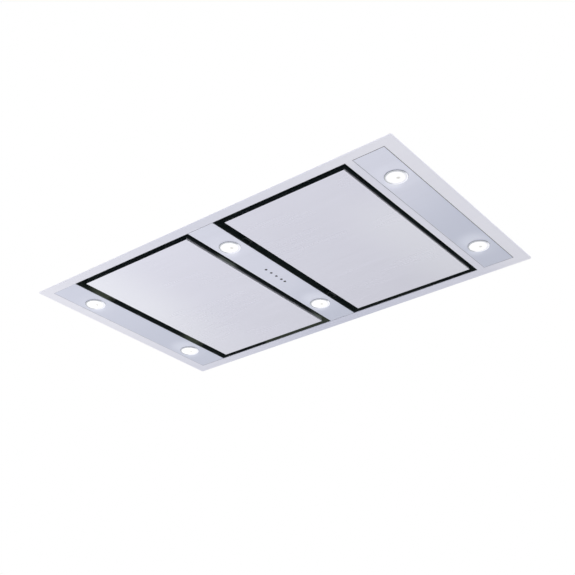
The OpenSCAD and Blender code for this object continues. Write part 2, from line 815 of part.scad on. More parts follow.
// Outline of the rim that joins the halves, which also fills the notch behind the tongue
function rim_points() = concat(
  [for (a = [100:5:359]) (scroll_radius(a) + rim_w) * unit(a)],
  [[mouth_u1 + rim_w, 0], [mouth_u1 + rim_w, mouth_v], [mouth_u0 - rim_w, mouth_v],
   [mouth_u0 - rim_w, mouth_v - mouth_neck]]);

function unit(a) = [cos(a), sin(a)];

// The angle that a short length takes up on the scroll's first radius
function degrees(d) = d / scroll_r0 * 180 / PI;

// Turns a drawing in the wheel's plane so that it is extruded along X
module across_axle(x) {
  translate([x, blower_y, blower_z]) rotate([90, 0, 90]) children();
}

// Half of the scroll housing, from the middle plane to the side with its inlet
module scroll_half() color(zinc) across_axle(0) {
  w = scroll_half_w;
  difference() {
    union() {
      linear_extrude(w) polygon(scroll_points(0));
      linear_extrude(scroll_wall) polygon(rim_points());
      translate([mouth_u0 - rim_w, mouth_v - scroll_wall, 0])
        cube([mouth_u1 - mouth_u0 + 2 * rim_w, scroll_wall, w + rim_w]);
    }
    translate([0, 0, -cut]) linear_extrude(w - scroll_wall + cut) polygon(scroll_points(scroll_wall));
    translate([0, 0, w - scroll_wall - cut])
      cylinder(r = inlet_r + scroll_wall / 2, h = scroll_wall + 2 * cut, $fn = 96);
  }
  translate([0, 0, w - scroll_wall]) inlet_bell();
}

// Rolled mouth of the inlet, a neck and a quarter round that opens outwards
module inlet_bell() {
  mid_r = inlet_r + bell_r;
  back_r = bell_r - scroll_wall;
  rotate_extrude($fn = 96) polygon(concat(
    [[inlet_r + scroll_wall, 0], [inlet_r, 0]],
    [for (a = [180:-15:90]) [mid_r + bell_r * cos(a), scroll_wall + bell_r * sin(a)]],
    [for (a = [90:15:180]) [mid_r + back_r * cos(a), scroll_wall + back_r * sin(a)]]));
}

module left_scroll_half() mirror([1, 0, 0]) scroll_half();

module right_scroll_half() scroll_half();

// Double-inlet wheel: forward-curved blades between two rings and a hub disc
module fan_wheel() color(aluminium) across_axle(-wheel_w / 2) {
  ring_t = 3;
  disc_t = 2;
  arc_r = blade_depth / 2 + 1.5;
  tuck = 0.3;
  difference() {
    union() {
      for (i = [0:blade_count - 1]) rotate(i * 360 / blade_count) linear_extrude(wheel_w) intersection() {
        translate([blade_mid_r, 0]) difference() {
          circle(arc_r);
          circle(arc_r - blade_t);
        }
        translate([blade_mid_r - blade_depth / 2 + tuck, -arc_r - cut])
          square([blade_depth - 2 * tuck, arc_r + cut]);
      }
      for (z = [0, wheel_w - ring_t]) translate([0, 0, z]) linear_extrude(ring_t) difference() {
        circle(wheel_r, $fn = 96);
        circle(wheel_r - blade_depth, $fn = 96);
      }
      translate([0, 0, (wheel_w - disc_t) / 2]) cylinder(r = wheel_r, h = disc_t, $fn = 96);
      translate([0, 0, (wheel_w - hub_len) / 2]) cylinder(r = hub_r, h = hub_len);
    }
    translate([0, 0, -cut]) cylinder(r = shaft_r + running_fit, h = wheel_w + 2 * cut);
  }
}

module motor_shaft() color(aluminium) across_axle(shaft_x[0]) {
  cylinder(r = shaft_r, h = shaft_x[1] - shaft_x[0]);
}

// Closed motor with rounded end caps and bearing bosses
module fan_motor() color(zinc) across_axle(motor_x0) rotate_extrude($fn = 96) {
  bore = shaft_r + running_fit;
  boss_r = 16;
  boss_t = 4;
  round_r = 10;
  flat_r = motor_r - round_r;
  back = motor_len - boss_t;
  polygon([
    [bore, 0], [boss_r, 0], [boss_r, boss_t], [flat_r, boss_t],
    for (a = [-90:15:0]) [flat_r + round_r * cos(a), boss_t + round_r + round_r * sin(a)],
    for (a = [0:15:90]) [flat_r + round_r * cos(a), back - round_r + round_r * sin(a)],
    [boss_r, back], [boss_r, motor_len], [bore, motor_len]]);
}

// Ring round the motor with three arms and feet on the scroll's side
module motor_bracket() color(black) across_axle(bracket_x) {
  ring_r = motor_r + seat;
  ring_w = 5;
  arm_w = 12;
  arm_r = ring_r + ring_w / 2;
  pad_r = 8;
  pad_h = bracket_x - scroll_half_w;
  difference() {
    union() {
      cylinder(r = ring_r + ring_w, h = bracket_t);
      for (a = [90, 210, 330]) rotate(a) {
        translate([arm_r, -arm_w / 2, 0]) cube([foot_r - arm_r, arm_w, bracket_t]);
        translate([foot_r, 0, -pad_h]) cylinder(r = pad_r, h = pad_h + bracket_t);
      }
    }
    translate([0, 0, -cut]) cylinder(r = ring_r, h = bracket_t + 2 * cut);
  }
}

// Capacitor with its terminal cap, let into a saddle under the cover
module run_capacitor() color(white) {
  saddle_t = 3.5;
  saddle_half = 30;
  saddle_x = [20, 40];
  let_in = 0.5;
  cap_r = 5;
  cap_len = 9;
  x = capacitor_place[0];
  y = capacitor_place[1];
  translate([x, y, shell_h - saddle_t + let_in - capacitor_r]) rotate([0, 90, 0]) {
    cylinder(r = capacitor_r, h = capacitor_len);
    translate([0, 0, capacitor_len - eps]) cylinder(r = cap_r, h = cap_len);
  }
  block([x + saddle_x[0], y - saddle_half, shell_h - saddle_t],
        [x + saddle_x[1], y + saddle_half, shell_h - seat]);
}

// Tube for the duct, with ears inside for the damper's pin and a stop under each flap
module outlet_collar() color(zinc) {
  inner_r = duct_r - duct_wall;
  difference() {
    translate([0, 0, cover_top]) union() {
      cylinder(r = duct_r, h = duct_h, $fn = 96);
      cylinder(r = duct_r + duct_flange, h = duct_flange_t, $fn = 96);
    }
    translate([0, 0, cover_top - cut]) cylinder(r = inner_r, h = duct_h + 2 * cut, $fn = 96);
  }
  for (s = [-1, 1]) mirror([0, s < 0 ? 1 : 0, 0]) {
    block([-stop_w / 2, inner_r - stop_w / 2, stop_top - stop_t],
          [stop_w / 2, inner_r + duct_wall / 2, stop_top]);
  }
  for (s = [-1, 1]) translate([0, 0, damper_z]) rotate([0, s * 90, 0]) difference() {
    translate([0, 0, ear_x]) cylinder(r = knuckle_tube_r, h = duct_r - duct_wall / 2 - ear_x);
    translate([0, 0, ear_x - cut])
      cylinder(r = damper_pin_r + running_fit, h = inner_r - ear_x + cut - socket_floor);
  }
}

module damper_pin() color(aluminium) {
  half = duct_r - duct_wall - socket_floor - 0.3;
  translate([-half, 0, damper_z]) rotate([0, 90, 0]) cylinder(r = damper_pin_r, h = 2 * half);
}

// Half-round flap hung on the pin by two knuckles
module damper_flap(side, knuckles) color(aluminium) translate([0, 0, damper_z]) {
  knuckle_len = 14;
  web = side * (flap_edge + cut);
  difference() {
    union() {
      translate([0, 0, -flap_t / 2]) linear_extrude(flap_t) intersection() {
        circle(flap_r, $fn = 96);
        translate([-flap_r, side > 0 ? flap_edge : -flap_r]) square([2 * flap_r, flap_r - flap_edge]);
      }
      for (x = knuckles) {
        translate([x - knuckle_len / 2, 0, 0]) rotate([0, 90, 0])
          cylinder(r = knuckle_tube_r, h = knuckle_len);
        block([x - knuckle_len / 2, min(0, web), -flap_t / 2],
              [x + knuckle_len / 2, max(0, web), flap_t / 2]);
      }
    }
    translate([-flap_r, 0, 0]) rotate([0, 90, 0]) cylinder(r = damper_pin_r + running_fit, h = 2 * flap_r);
  }
}

module near_damper_flap() damper_flap(-1, [-near_knuckle, near_knuckle]);

module far_damper_flap() damper_flap(1, [-far_knuckle, far_knuckle]);

// Open box under the cover, closed by a lid from below
module control_box() color(dark_plastic) difference() {
  block([box_x0, box_y0, box_top - box_h], [box_x0 + box_w, box_y0 + box_d, box_top]);
  block([box_x0 + box_wall, box_y0 + box_wall, box_top - box_h - cut],
        [box_x0 + box_w - box_wall, box_y0 + box_d - box_wall, box_top - box_wall]);
  translate([gland[0], gland[1], box_top - box_wall - cut])
    cylinder(r = gland_r + seat, h = box_wall + 2 * cut);
}

module control_box_lid() color(dark_plastic) {
  top = box_top - box_h;
  a = [box_x0 + box_wall + seat, box_y0 + box_wall + seat];
  b = [box_x0 + box_w - box_wall - seat, box_y0 + box_d - box_wall - seat];
  rim_t = 1.5;
  rim_h = 3;
  post_r = 3.5;
  block([box_x0, box_y0, top - box_wall], [box_x0 + box_w, box_y0 + box_d, top]);
  difference() {
    block([a[0], a[1], top - eps], [b[0], b[1], top + rim_h]);
    block([a[0] + rim_t, a[1] + rim_t, top], [b[0] - rim_t, b[1] - rim_t, top + rim_h + cut]);
  }
  for (x = [lid_post_inset, box_w - lid_post_inset], y = [lid_post_inset, box_d - lid_post_inset]) {
    translate([box_x0 + x, box_y0 + y, top - eps]) cylinder(r = post_r, h = lid_post_h + eps);
  }
}

module control_board() color([0.10, 0.32, 0.18]) {
  low = [box_x0 + board_edge, box_y0 + board_edge, box_top - box_h + lid_post_h];
  high = [box_x0 + box_w - board_edge, box_y0 + box_d - board_edge, low[2] + board_t];
  block(low, high);
  for (i = [0:3]) {
    at = [low[0] + board_edge + i * relay_pitch, low[1] + board_edge, high[2] - eps];
    block(at, at + relay_size);
  }
  block([low[0] + board_edge, high[1] - board_edge - transformer_size[1], high[2] - eps],
        [low[0] + board_edge + transformer_size[0], high[1] - board_edge, high[2] + transformer_size[2]]);
  block([high[0] - board_edge - terminal_size[0], low[1] + board_edge, high[2] - eps],
        [high[0] - board_edge, low[1] + board_edge + terminal_size[1], high[2] + terminal_size[2]]);
}

// Driver of the lamps, with a fixing lug at each end
module lamp_driver() color(white) {
  lug_len = 10;
  lug_inset = 8;
  lug_t = 3;
  hole_r = 2.2;
  y1 = driver_y0 + driver_d;
  block([box_x0 + lug_len, driver_y0, box_top - driver_h], [box_x0 + driver_w - lug_len, y1, box_top]);
  difference() {
    block([box_x0, driver_y0 + lug_inset, box_top - lug_t], [box_x0 + driver_w, y1 - lug_inset, box_top]);
    for (x = [lug_len / 2, driver_w - lug_len / 2]) {
      translate([box_x0 + x, (driver_y0 + y1) / 2, box_top - lug_t - cut])
        cylinder(r = hole_r, h = lug_t + 2 * cut);
    }
  }
}

// Screwed gland over the control box; the mains lead goes through its bore
module cable_gland() color(dark_plastic) translate([gland[0], gland[1], cover_top]) difference() {
  hex_r = 14;
  hex_h = 6;
  neck_r = 11;
  cap_z = 8;
  cap_r = 12;
  cap_h = 14;
  thread_len = cover_top - box_top + box_wall + 8;
  union() {
    cylinder(r = hex_r, h = hex_h, $fn = 6);
    translate([0, 0, hex_h - eps]) cylinder(r = neck_r, h = cap_z - hex_h + cut);
    translate([0, 0, cap_z]) rotate_extrude($fn = 64) polygon([
      [0, 0], [cap_r, 0], [cap_r, cap_h - 6], [cap_r - 2, cap_h - 2], [cap_r - 4.5, cap_h], [0, cap_h]]);
    translate([0, 0, -thread_len]) cylinder(r = gland_r, h = thread_len + eps);
  }
  translate([0, 0, -thread_len - cut]) cylinder(r = gland_bore_r, h = thread_len + cap_z + cap_h + 2 * cut);
}

function lamp_place(i) = [lamp_x[floor(i / 2)], lamp_y[i % 2]];

// Turned ring with a sleeve through the strip and a lip under the lens
module lamp_bezel(i) color(steel) translate([lamp_place(i)[0], lamp_place(i)[1], 0]) {
  low = face_z - bezel_proud;
  side_r = bezel_r - bezel_slope;
  rotate_extrude($fn = 96) polygon([
    [lens_r, low], [side_r - bezel_edge, low], [side_r, low + bezel_edge], [bezel_r, face_z],
    [sleeve_out, face_z], [sleeve_out, sleeve_top], [sleeve_in, sleeve_top], [sleeve_in, low + bezel_lip],
    [lens_r, low + bezel_lip]]);
}

module lamp_lens(i) color(white) translate([lamp_place(i)[0], lamp_place(i)[1], lens_z]) {
  rotate_extrude($fn = 96) polygon([
    [0, -0.3], [lens_r - 3, -0.15], [lens_r - 0.4, 0], [sleeve_in - 0.3, 0],
    [sleeve_in - 0.3, lens_t], [0, lens_t]]);
}

// Heat sinks over the lenses, each with two spring clips on the strip
module lamp_bodies() color(aluminium) for (i = [0:LAMPS - 1]) {
  translate([lamp_place(i)[0], lamp_place(i)[1], 0]) {
    low = lens_z + lens_t;
    top = sheet_top + lamp_body_h;
    fin_pitch = 7;
    fin_gap = 3;
    fin_depth = 9;
    clip_w = 8;
    clip_end = sleeve_out + 20;
    difference() {
      translate([0, 0, low]) cylinder(r = sleeve_in - 2 * seat, h = top - low);
      for (k = [-3:3]) {
        translate([k * fin_pitch - fin_gap / 2, -sleeve_out, top - fin_depth])
          cube([fin_gap, 2 * sleeve_out, fin_depth + cut]);
      }
    }
    for (s = [0, 1]) mirror([0, s, 0]) translate([-clip_w / 2, 0, 0]) rotate([90, 0, 90])
      linear_extrude(clip_w) polygon([
        [sleeve_in - 3, top - 14], [sleeve_out + 4, top - 8], [sleeve_out + 14, sheet_top + 1.2],
        [clip_end, sheet_top + seat / 2], [clip_end, sheet_top + 0.8], [sleeve_out + 15, sheet_top + 2],
        [sleeve_out + 4.6, top - 7], [sleeve_in - 3, top - 13]]);
  }
}

// A push button with a flange behind the strip and a stem into its switch
module button(i) color(dark_plastic) translate([centre_x, button_y[i], 0]) {
  low = face_z - button_proud;
  flange_top = sheet_top + button_flange_t;
  rotate_extrude($fn = 48) polygon([
    [0, low], [button_r - button_edge, low], [button_r, low + button_edge],
    [button_r, sheet_top], [button_flange_r, sheet_top], [button_flange_r, flange_top],
    [stem_r, flange_top], [stem_r, stem_top], [0, stem_top]]);
}

// Circuit board on the strip's studs, with one switch over each button
module button_board() color([0.10, 0.32, 0.18]) {
  bore_top = stem_top + button_travel + 2 * seat;
  block([centre_x - board_half, button_y[0] - board_end, board_z],
        [centre_x + board_half, eye_y + board_end, board_z + board_t]);
  difference() {
    for (y = button_y) {
      block([centre_x - switch_half, y - switch_half, switch_low],
            [centre_x + switch_half, y + switch_half, board_z + eps]);
    }
    for (y = button_y) translate([centre_x, y, switch_low - cut])
      cylinder(r = stem_r + running_fit, h = bore_top - switch_low + cut, $fn = 48);
  }
}

module infrared_eye() color(dark_plastic) translate([centre_x, eye_y, 0]) {
  rotate_extrude($fn = 48) polygon([
    [0, face_z - 0.3], [button_r - 0.8, face_z - 0.15], [button_r - 0.1, face_z + 0.2],
    [button_r - 0.1, sheet_top], [button_r + 1, sheet_top], [button_r + 1, board_z], [0, board_z]]);
}

ceiling_frame();
left_light_strip();
centre_strip();
right_light_strip();
left_recess_liner();
right_recess_liner();
housing_shell();
top_cover();
hanger_brackets();
left_suction_panel();
right_suction_panel();
left_panel_tray();
right_panel_tray();
left_hinge_arms();
right_hinge_arms();
hinge_brackets();
hinge_pins();
catch_magnets();
left_filter_frame();
right_filter_frame();
left_filter_mesh();
right_filter_mesh();
left_filter_latch();
right_filter_latch();
left_scroll_half();
right_scroll_half();
fan_wheel();
motor_shaft();
fan_motor();
motor_bracket();
run_capacitor();
outlet_collar();
damper_pin();
near_damper_flap();
far_damper_flap();
control_box();
control_box_lid();
control_board();
lamp_driver();
cable_gland();
cover_screws();
lamp_bodies();
button_board();
infrared_eye();
for (i = [1:LAMPS]) lamp_bezel(i - 1);
for (i = [1:LAMPS]) lamp_lens(i - 1);
for (i = [1:BUTTONS]) button(i - 1);
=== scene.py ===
"""Looks of a ceiling range hood with two drop-down suction panels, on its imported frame."""

import math

import bmesh
import bpy
from mathutils import Matrix, Quaternion, Vector


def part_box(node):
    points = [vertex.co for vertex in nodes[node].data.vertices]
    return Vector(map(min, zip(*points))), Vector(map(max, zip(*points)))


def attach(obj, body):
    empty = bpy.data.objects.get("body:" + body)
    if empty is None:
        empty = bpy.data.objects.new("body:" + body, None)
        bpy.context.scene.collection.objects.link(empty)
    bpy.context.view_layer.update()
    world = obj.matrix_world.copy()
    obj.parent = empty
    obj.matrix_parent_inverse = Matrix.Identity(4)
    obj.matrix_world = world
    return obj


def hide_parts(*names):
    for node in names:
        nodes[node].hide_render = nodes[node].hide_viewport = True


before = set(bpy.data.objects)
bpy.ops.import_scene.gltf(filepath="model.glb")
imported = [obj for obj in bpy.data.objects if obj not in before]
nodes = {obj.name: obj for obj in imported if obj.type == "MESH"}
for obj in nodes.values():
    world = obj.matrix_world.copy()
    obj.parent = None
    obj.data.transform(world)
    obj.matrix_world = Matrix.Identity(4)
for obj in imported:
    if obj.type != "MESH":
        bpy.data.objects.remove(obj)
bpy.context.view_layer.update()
scene = bpy.context.scene

LAMPS = 6
BUTTONS = 4
SIDES = ("left", "right")
MM = 0.001


# Colours

def linear(value):
    """One channel as it shows on screen, 0 to 255, in the linear value that shaders use."""
    value /= 255
    return value / 12.92 if value <= 0.04045 else ((value + 0.055) / 1.055) ** 2.4


def tone(red, green, blue):
    """A colour given as it shows on screen, 0 to 255 each."""
    return (linear(red), linear(green), linear(blue), 1.0)


def shade(colour, factor):
    """The colour made lighter or darker by a factor."""
    return tuple(min(c * factor, 1.0) for c in colour[:3]) + (1.0,)


FRAME_STEEL = tone(245, 245, 255)
# Painted shade: the frame's darker middle, far side and crossbar.
FRAME_PAINTED_SHADE_STEEL = tone(221, 223, 239)
STRIP_STEEL = tone(234, 236, 250)
# Painted shade: the strips darker towards the far end and on the left strip.
STRIP_PAINTED_SHADE_STEEL = tone(215, 219, 235)
PANEL_STEEL = tone(234, 234, 247)
# Painted light: the panels lighter at the left panel's near-left corner and the right panel's right end.
PANEL_PAINTED_LIGHT_STEEL = tone(243, 244, 253)
BEZEL_STEEL = tone(232, 234, 240)
# Painted shade on the bezels' upright sides.
BEZEL_SHADED_SIDE = tone(222, 224, 228)
# Painted shade on each bezel's side away from the lamp, and painted light on the side that faces it.
BEZEL_UNLIT = tone(204, 209, 209)
BEZEL_LIGHT = (0.36, 0.36, 0.37, 1.0)
ZINC = tone(176, 182, 188)
TRAY_ZINC = tone(168, 173, 178)
ALUMINIUM = tone(192, 194, 198)
MESH_ALUMINIUM = tone(178, 180, 182)
WHEEL_ALUMINIUM = tone(172, 175, 178)
BRIGHT_STEEL = tone(200, 202, 206)
WELD_GREY = tone(132, 136, 140)
LINER_BLACK = tone(27, 34, 33)
LINER_THIN = tone(39, 45, 40)
# Painted light in the recess liners and on the hinges: a faint glow, and glimmers of the lamps.
LINER_PAINTED_LIGHT, LINER_PAINTED_GLIMMER = tone(7, 11, 12), tone(52, 57, 49)
# Painted shade deep on the panels' end folds in the gaps.
GAP_SHADE = tone(16, 20, 19)
# Painted light on those folds: a faint glow, and glimmers of the lamps.
GAP_PAINTED_LIGHT, GAP_PAINTED_GLIMMER = tone(12, 17, 19), tone(70, 76, 72)
HINGE_BLACK = tone(18, 21, 20)
PLASTIC_BLACK = tone(30, 31, 34)
BUTTON_BLACK = tone(26, 28, 33)
PLASTIC_WHITE = tone(226, 225, 219)
MOTOR_GREY = tone(120, 126, 132)
# Seal colours; the black also paints shadow hairlines in the strips' seams, the grey softer painted shade in
# other seams and round the bezels.
SEAL_AND_SHADOW_BLACK = tone(20, 22, 24)
SEAL_AND_SHADE_GREY = tone(176, 178, 188)
BOARD_GREEN = tone(34, 96, 60)
OPAL = tone(188, 188, 188)
OPAL_LIGHT = (0.66, 0.66, 0.66, 1.0)
RIM_SHADE = tone(190, 190, 198)
RIM_LIGHT = (0.36, 0.36, 0.39, 1.0)
CHIP_SHADE = tone(168, 167, 164)
CHIP_LIGHT = (0.34, 0.34, 0.33, 1.0)
DUST_ON_ZINC = tone(190, 187, 180)
DUST_ON_BLACK = tone(150, 147, 140)
STAGE_PALE = tone(235, 235, 235)
WHITE = (1.0, 1.0, 1.0, 1.0)
NO_LIGHT = (0.0, 0.0, 0.0, 1.0)


# Shader nodes

WHOLE = RISING = (0.0, 1.0)
FALLING = (1.0, 0.0)


def make_group(name, inputs, outputs):
    """An empty shader group, what it is given and its output node.

    Inputs are (name, kind, value) after a Vector that every group has, and outputs are names of values.
    """
    group = bpy.data.node_groups.new(name, "ShaderNodeTree")
    for label, kind, value in [("Vector", "Vector", None)] + inputs:
        socket = group.interface.new_socket(label, in_out="INPUT", socket_type="NodeSocket" + kind)
        if value is not None:
            socket.default_value = value
    for label in outputs:
        group.interface.new_socket(label, in_out="OUTPUT", socket_type="NodeSocketFloat")
    return group, group.nodes.new("NodeGroupInput").outputs, group.nodes.new("NodeGroupOutput")


def give(group, made, **values):
    """Connects a group's outputs to their values, and returns the group."""
    for label, value in values.items():
        group.links.new(value, made.inputs[label])
    return group


def add(tree, kind, **settings):
    """A node of that kind, with its properties set."""
    node = tree.nodes.new("ShaderNode" + kind)
    for key, value in settings.items():
        setattr(node, key, value)
    return node


def math_node(tree, operation, a, b=None, clamp=False):
    """A Math node; a and b are sockets or numbers."""
    node = add(tree, "Math", operation=operation, use_clamp=clamp)
    for socket, value in zip(node.inputs, (a, b)):
        if value is None:
            continue
        if isinstance(value, (int, float)):
            socket.default_value = value
        else:
            tree.links.new(value, socket)
    return node.outputs["Value"]


def times(tree, a, b):
    """The product of two values."""
    return math_node(tree, "MULTIPLY", a, b)


def plus(tree, a, b):
    """The sum of two values."""
    return math_node(tree, "ADD", a, b)


def minus(tree, a, b):
    """The difference of two values."""
    return math_node(tree, "SUBTRACT", a, b)


def larger(tree, a, b):
    """The larger of two values."""
    return math_node(tree, "MAXIMUM", a, b)


def away(tree, value, place):
    """How far a value lies from a place, to either side."""
    return math_node(tree, "ABSOLUTE", minus(tree, value, place))


def axes(tree, vector):
    """The X, Y and Z of a vector."""
    node = add(tree, "SeparateXYZ")
    tree.links.new(vector, node.inputs["Vector"])
    return node.outputs["X"], node.outputs["Y"], node.outputs["Z"]


def ramp(tree, value, span, ends=RISING, smooth=True):
    """Turns a value that runs over a span into one that runs between two ends, and holds it there."""
    node = add(tree, "MapRange", interpolation_type="SMOOTHSTEP" if smooth else "LINEAR")
    for name, number in zip(("From Min", "From Max", "To Min", "To Max"), (*span, *ends)):
        node.inputs[name].default_value = number
    tree.links.new(value, node.inputs["Value"])
    return node.outputs["Result"]


def stretched(tree, vector, scale):
    """The vector multiplied by a scale along each axis; scale is a socket or three numbers."""
    node = add(tree, "VectorMath", operation="MULTIPLY")
    tree.links.new(vector, node.inputs[0])
    if isinstance(scale, tuple):
        node.inputs[1].default_value = scale
    else:
        tree.links.new(scale, node.inputs[1])
    return node.outputs["Vector"]


def noise(tree, vector, scale=1.0, detail=2.0, roughness=0.5, distortion=0.0):
    """Cloudy noise between 0 and 1."""
    node = add(tree, "TexNoise")
    for name, number in (("Scale", scale), ("Detail", detail), ("Roughness", roughness),
                         ("Distortion", distortion)):
        node.inputs[name].default_value = number
    tree.links.new(vector, node.inputs["Vector"])
    return node.outputs["Fac"]


# Shared effects

SHEET_GRAIN = (9.0, 700.0, 700.0)
BROAD_GRAIN = (0.5, 0.08, 0.08)
FINE_SHARE, BROAD_SHARE = 0.6, 0.4


def group_brushed_grain():
    """Fine parallel lines of uneven length, as a belt leaves on sheet steel."""
    group, given, made = make_group("brushed_grain", [("Scale", "Vector", SHEET_GRAIN)], ["Tone", "Height"])
    at = stretched(group, given["Vector"], given["Scale"])
    fine = noise(group, at, detail=3.0, roughness=0.65)
    broad = noise(group, stretched(group, at, BROAD_GRAIN))
    mixed = plus(group, times(group, fine, FINE_SHARE), times(group, broad, BROAD_SHARE))
    return give(group, made, Tone=ramp(group, mixed, (0.3, 0.7), smooth=False), Height=fine)


PANEL_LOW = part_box("left_suction_panel")[0].z
UPRIGHT_TURN, END_TURN = (0.25, 0.95), (0.3, 0.8)
TURN_SHAKE = 0.04
# How the painted shade on a panel's end folds rises up the gap, with an uneven edge that shifts along X.
GAP_SHADE_WAVE = 1.5 * MM
GAP_SHADE_X, GAP_SHADE_DROP = (0.0, 0.3), (-2.0 * MM, -0.7 * MM)
GAP_SHADE_Z = (PANEL_LOW + 0.6 * MM, PANEL_LOW + 7.5 * MM)


def group_edge_walls():
    """Where a sheet's folded edges stand, 0 on flat faces and 1 on upright ones, and on which of them.

    End is 1 on the walls that face along X. Depth, which places the painted shade in the gaps, goes from 0 at
    a panel's lower edge to 1 well above it.
    """
    group, given, made = make_group("edge_walls", [], ["Mask", "End", "Depth"])
    facing_x, _, facing_z = axes(group, add(group, "NewGeometry").outputs["Normal"])
    grain = noise(group, given["Vector"], 300.0, detail=1.0)
    shaken = plus(group, math_node(group, "ABSOLUTE", facing_z), times(group, grain, TURN_SHAKE))
    end = ramp(group, math_node(group, "ABSOLUTE", facing_x), END_TURN)
    x, _, z = axes(group, given["Vector"])
    shade_height = plus(group, z, times(group, noise(group, given["Vector"], 25.0), GAP_SHADE_WAVE))
    shade_height = plus(group, shade_height, ramp(group, x, GAP_SHADE_X, GAP_SHADE_DROP))
    return give(group, made, Mask=ramp(group, shaken, UPRIGHT_TURN, FALLING), End=end,
                Depth=ramp(group, shade_height, GAP_SHADE_Z))


# Painted shade and painted light fall between these places of the hood, in metres, by these shares.
STRIP_LEFT_X, STRIP_LEFT_Y, STRIP_LEFT_SHARES = (-0.42, -0.12), (-0.3, 0.15), (0.55, 0.95)
STRIP_FAR_Y, STRIP_FAR_SLANT = (-0.06, 0.3), 0.35
PANEL_LEFT_X, PANEL_LEFT_Y, PANEL_LEFT_SHARES = (-0.46, -0.22), (-0.1, 0.3), (1.0, 0.35)
PANEL_RIGHT_X, PANEL_RIGHT_X_SHARES = (0.24, 0.43), (0.0, 0.75)
PANEL_RIGHT_Y, PANEL_RIGHT_Y_SHARES = (-0.3, 0.0), (-0.3, 1.0)
FRAME_MIDDLE_X, FRAME_MIDDLE_REACH = -20 * MM, (0.0, 0.55)
FRAME_MIDDLE_Y, FRAME_MIDDLE_SHARES = (-0.33, 0.33), (0.5, 0.75)
FRAME_FAR_Y, FRAME_FAR_SHARES, FRAME_FAR_X = (0.0, 0.33), (0.0, 0.38), (0.46, 0.58)
CROSSBAR_X, CROSSBAR_EDGE, CROSSBAR_SHARES = 468 * MM, (16 * MM, 24 * MM), (0.3, 0.0)
CROSSBAR_END, CROSSBAR_Y, CROSSBAR_Y_SHARES = (0.29, 0.33), (-0.05, 0.25), (1.0, 0.1)


def group_painted_light_and_shade():
    """Painted shade and painted light over the whole hood: strips darker towards the far end and on the left
    strip, panels lighter at the left panel's near-left corner and the right panel's right end, frame darker
    over its middle, its far side and along the crossbar; one output each for the strips, the panels and the
    frame.
    """
    group, given, made = make_group("painted_light_and_shade", [], ["Strips", "Ends", "Frame"])
    x, y, _ = axes(group, given["Vector"])
    left = ramp(group, x, STRIP_LEFT_X, FALLING)
    onward = plus(group, y, times(group, larger(group, x, 0.0), STRIP_FAR_SLANT))
    far = times(group, ramp(group, onward, STRIP_FAR_Y), minus(group, 1.0, left))
    left = times(group, left, ramp(group, y, STRIP_LEFT_Y, STRIP_LEFT_SHARES))
    near_left = times(group, ramp(group, x, PANEL_LEFT_X, FALLING),
                      ramp(group, y, PANEL_LEFT_Y, PANEL_LEFT_SHARES))
    right = times(group, ramp(group, x, PANEL_RIGHT_X, PANEL_RIGHT_X_SHARES),
                  ramp(group, y, PANEL_RIGHT_Y, PANEL_RIGHT_Y_SHARES))
    sideways = ramp(group, away(group, x, FRAME_MIDDLE_X), FRAME_MIDDLE_REACH, FALLING, smooth=False)
    mid = times(group, sideways, ramp(group, y, FRAME_MIDDLE_Y, FRAME_MIDDLE_SHARES))
    beyond = times(group, ramp(group, y, FRAME_FAR_Y, FRAME_FAR_SHARES), ramp(group, x, FRAME_FAR_X, FALLING))
    crossbar = times(group, ramp(group, away(group, x, CROSSBAR_X), CROSSBAR_EDGE, CROSSBAR_SHARES),
                     ramp(group, math_node(group, "ABSOLUTE", y), CROSSBAR_END, FALLING))
    crossbar = times(group, crossbar, ramp(group, y, CROSSBAR_Y, CROSSBAR_Y_SHARES))
    return give(group, made, Strips=plus(group, far, left), Ends=plus(group, near_left, right),
                Frame=plus(group, plus(group, mid, beyond), crossbar))


def group_soft_patches():
    """Slow cloudy variation, from rolling, handling and cleaning."""
    group, given, made = make_group("soft_patches", [("Scale", "Vector", (2.0, 3.0, 3.0))], ["Value"])
    at = stretched(group, given["Vector"], given["Scale"])
    cloud = noise(group, at, detail=3.0, roughness=0.55, distortion=0.4)
    return give(group, made, Value=ramp(group, cloud, (0.32, 0.68)))


SCRATCHES_ALONG, SCRATCHES_ACROSS = (22.0, 1500.0, 900.0), (1300.0, 30.0, 900.0)


def group_fine_scratches():
    """Sparse thin scratches in two directions."""
    group, given, made = make_group("fine_scratches", [], ["Mask"])
    first = noise(group, stretched(group, given["Vector"], SCRATCHES_ALONG), detail=1.0)
    second = noise(group, stretched(group, given["Vector"], SCRATCHES_ACROSS), detail=1.0)
    lines = math_node(group, "ADD", ramp(group, first, (0.72, 0.78)), ramp(group, second, (0.74, 0.8)),
                      clamp=True)
    where = ramp(group, noise(group, given["Vector"], 14.0), (0.5, 0.62))
    return give(group, made, Mask=times(group, lines, where))


SPANGLE_WOBBLE = (0.004, 0.004, 0.004)
SPANGLE_STREAKS = (260.0, 900.0, 420.0)
CRYSTAL_SHARE, STREAK_SHARE = 0.75, 0.25


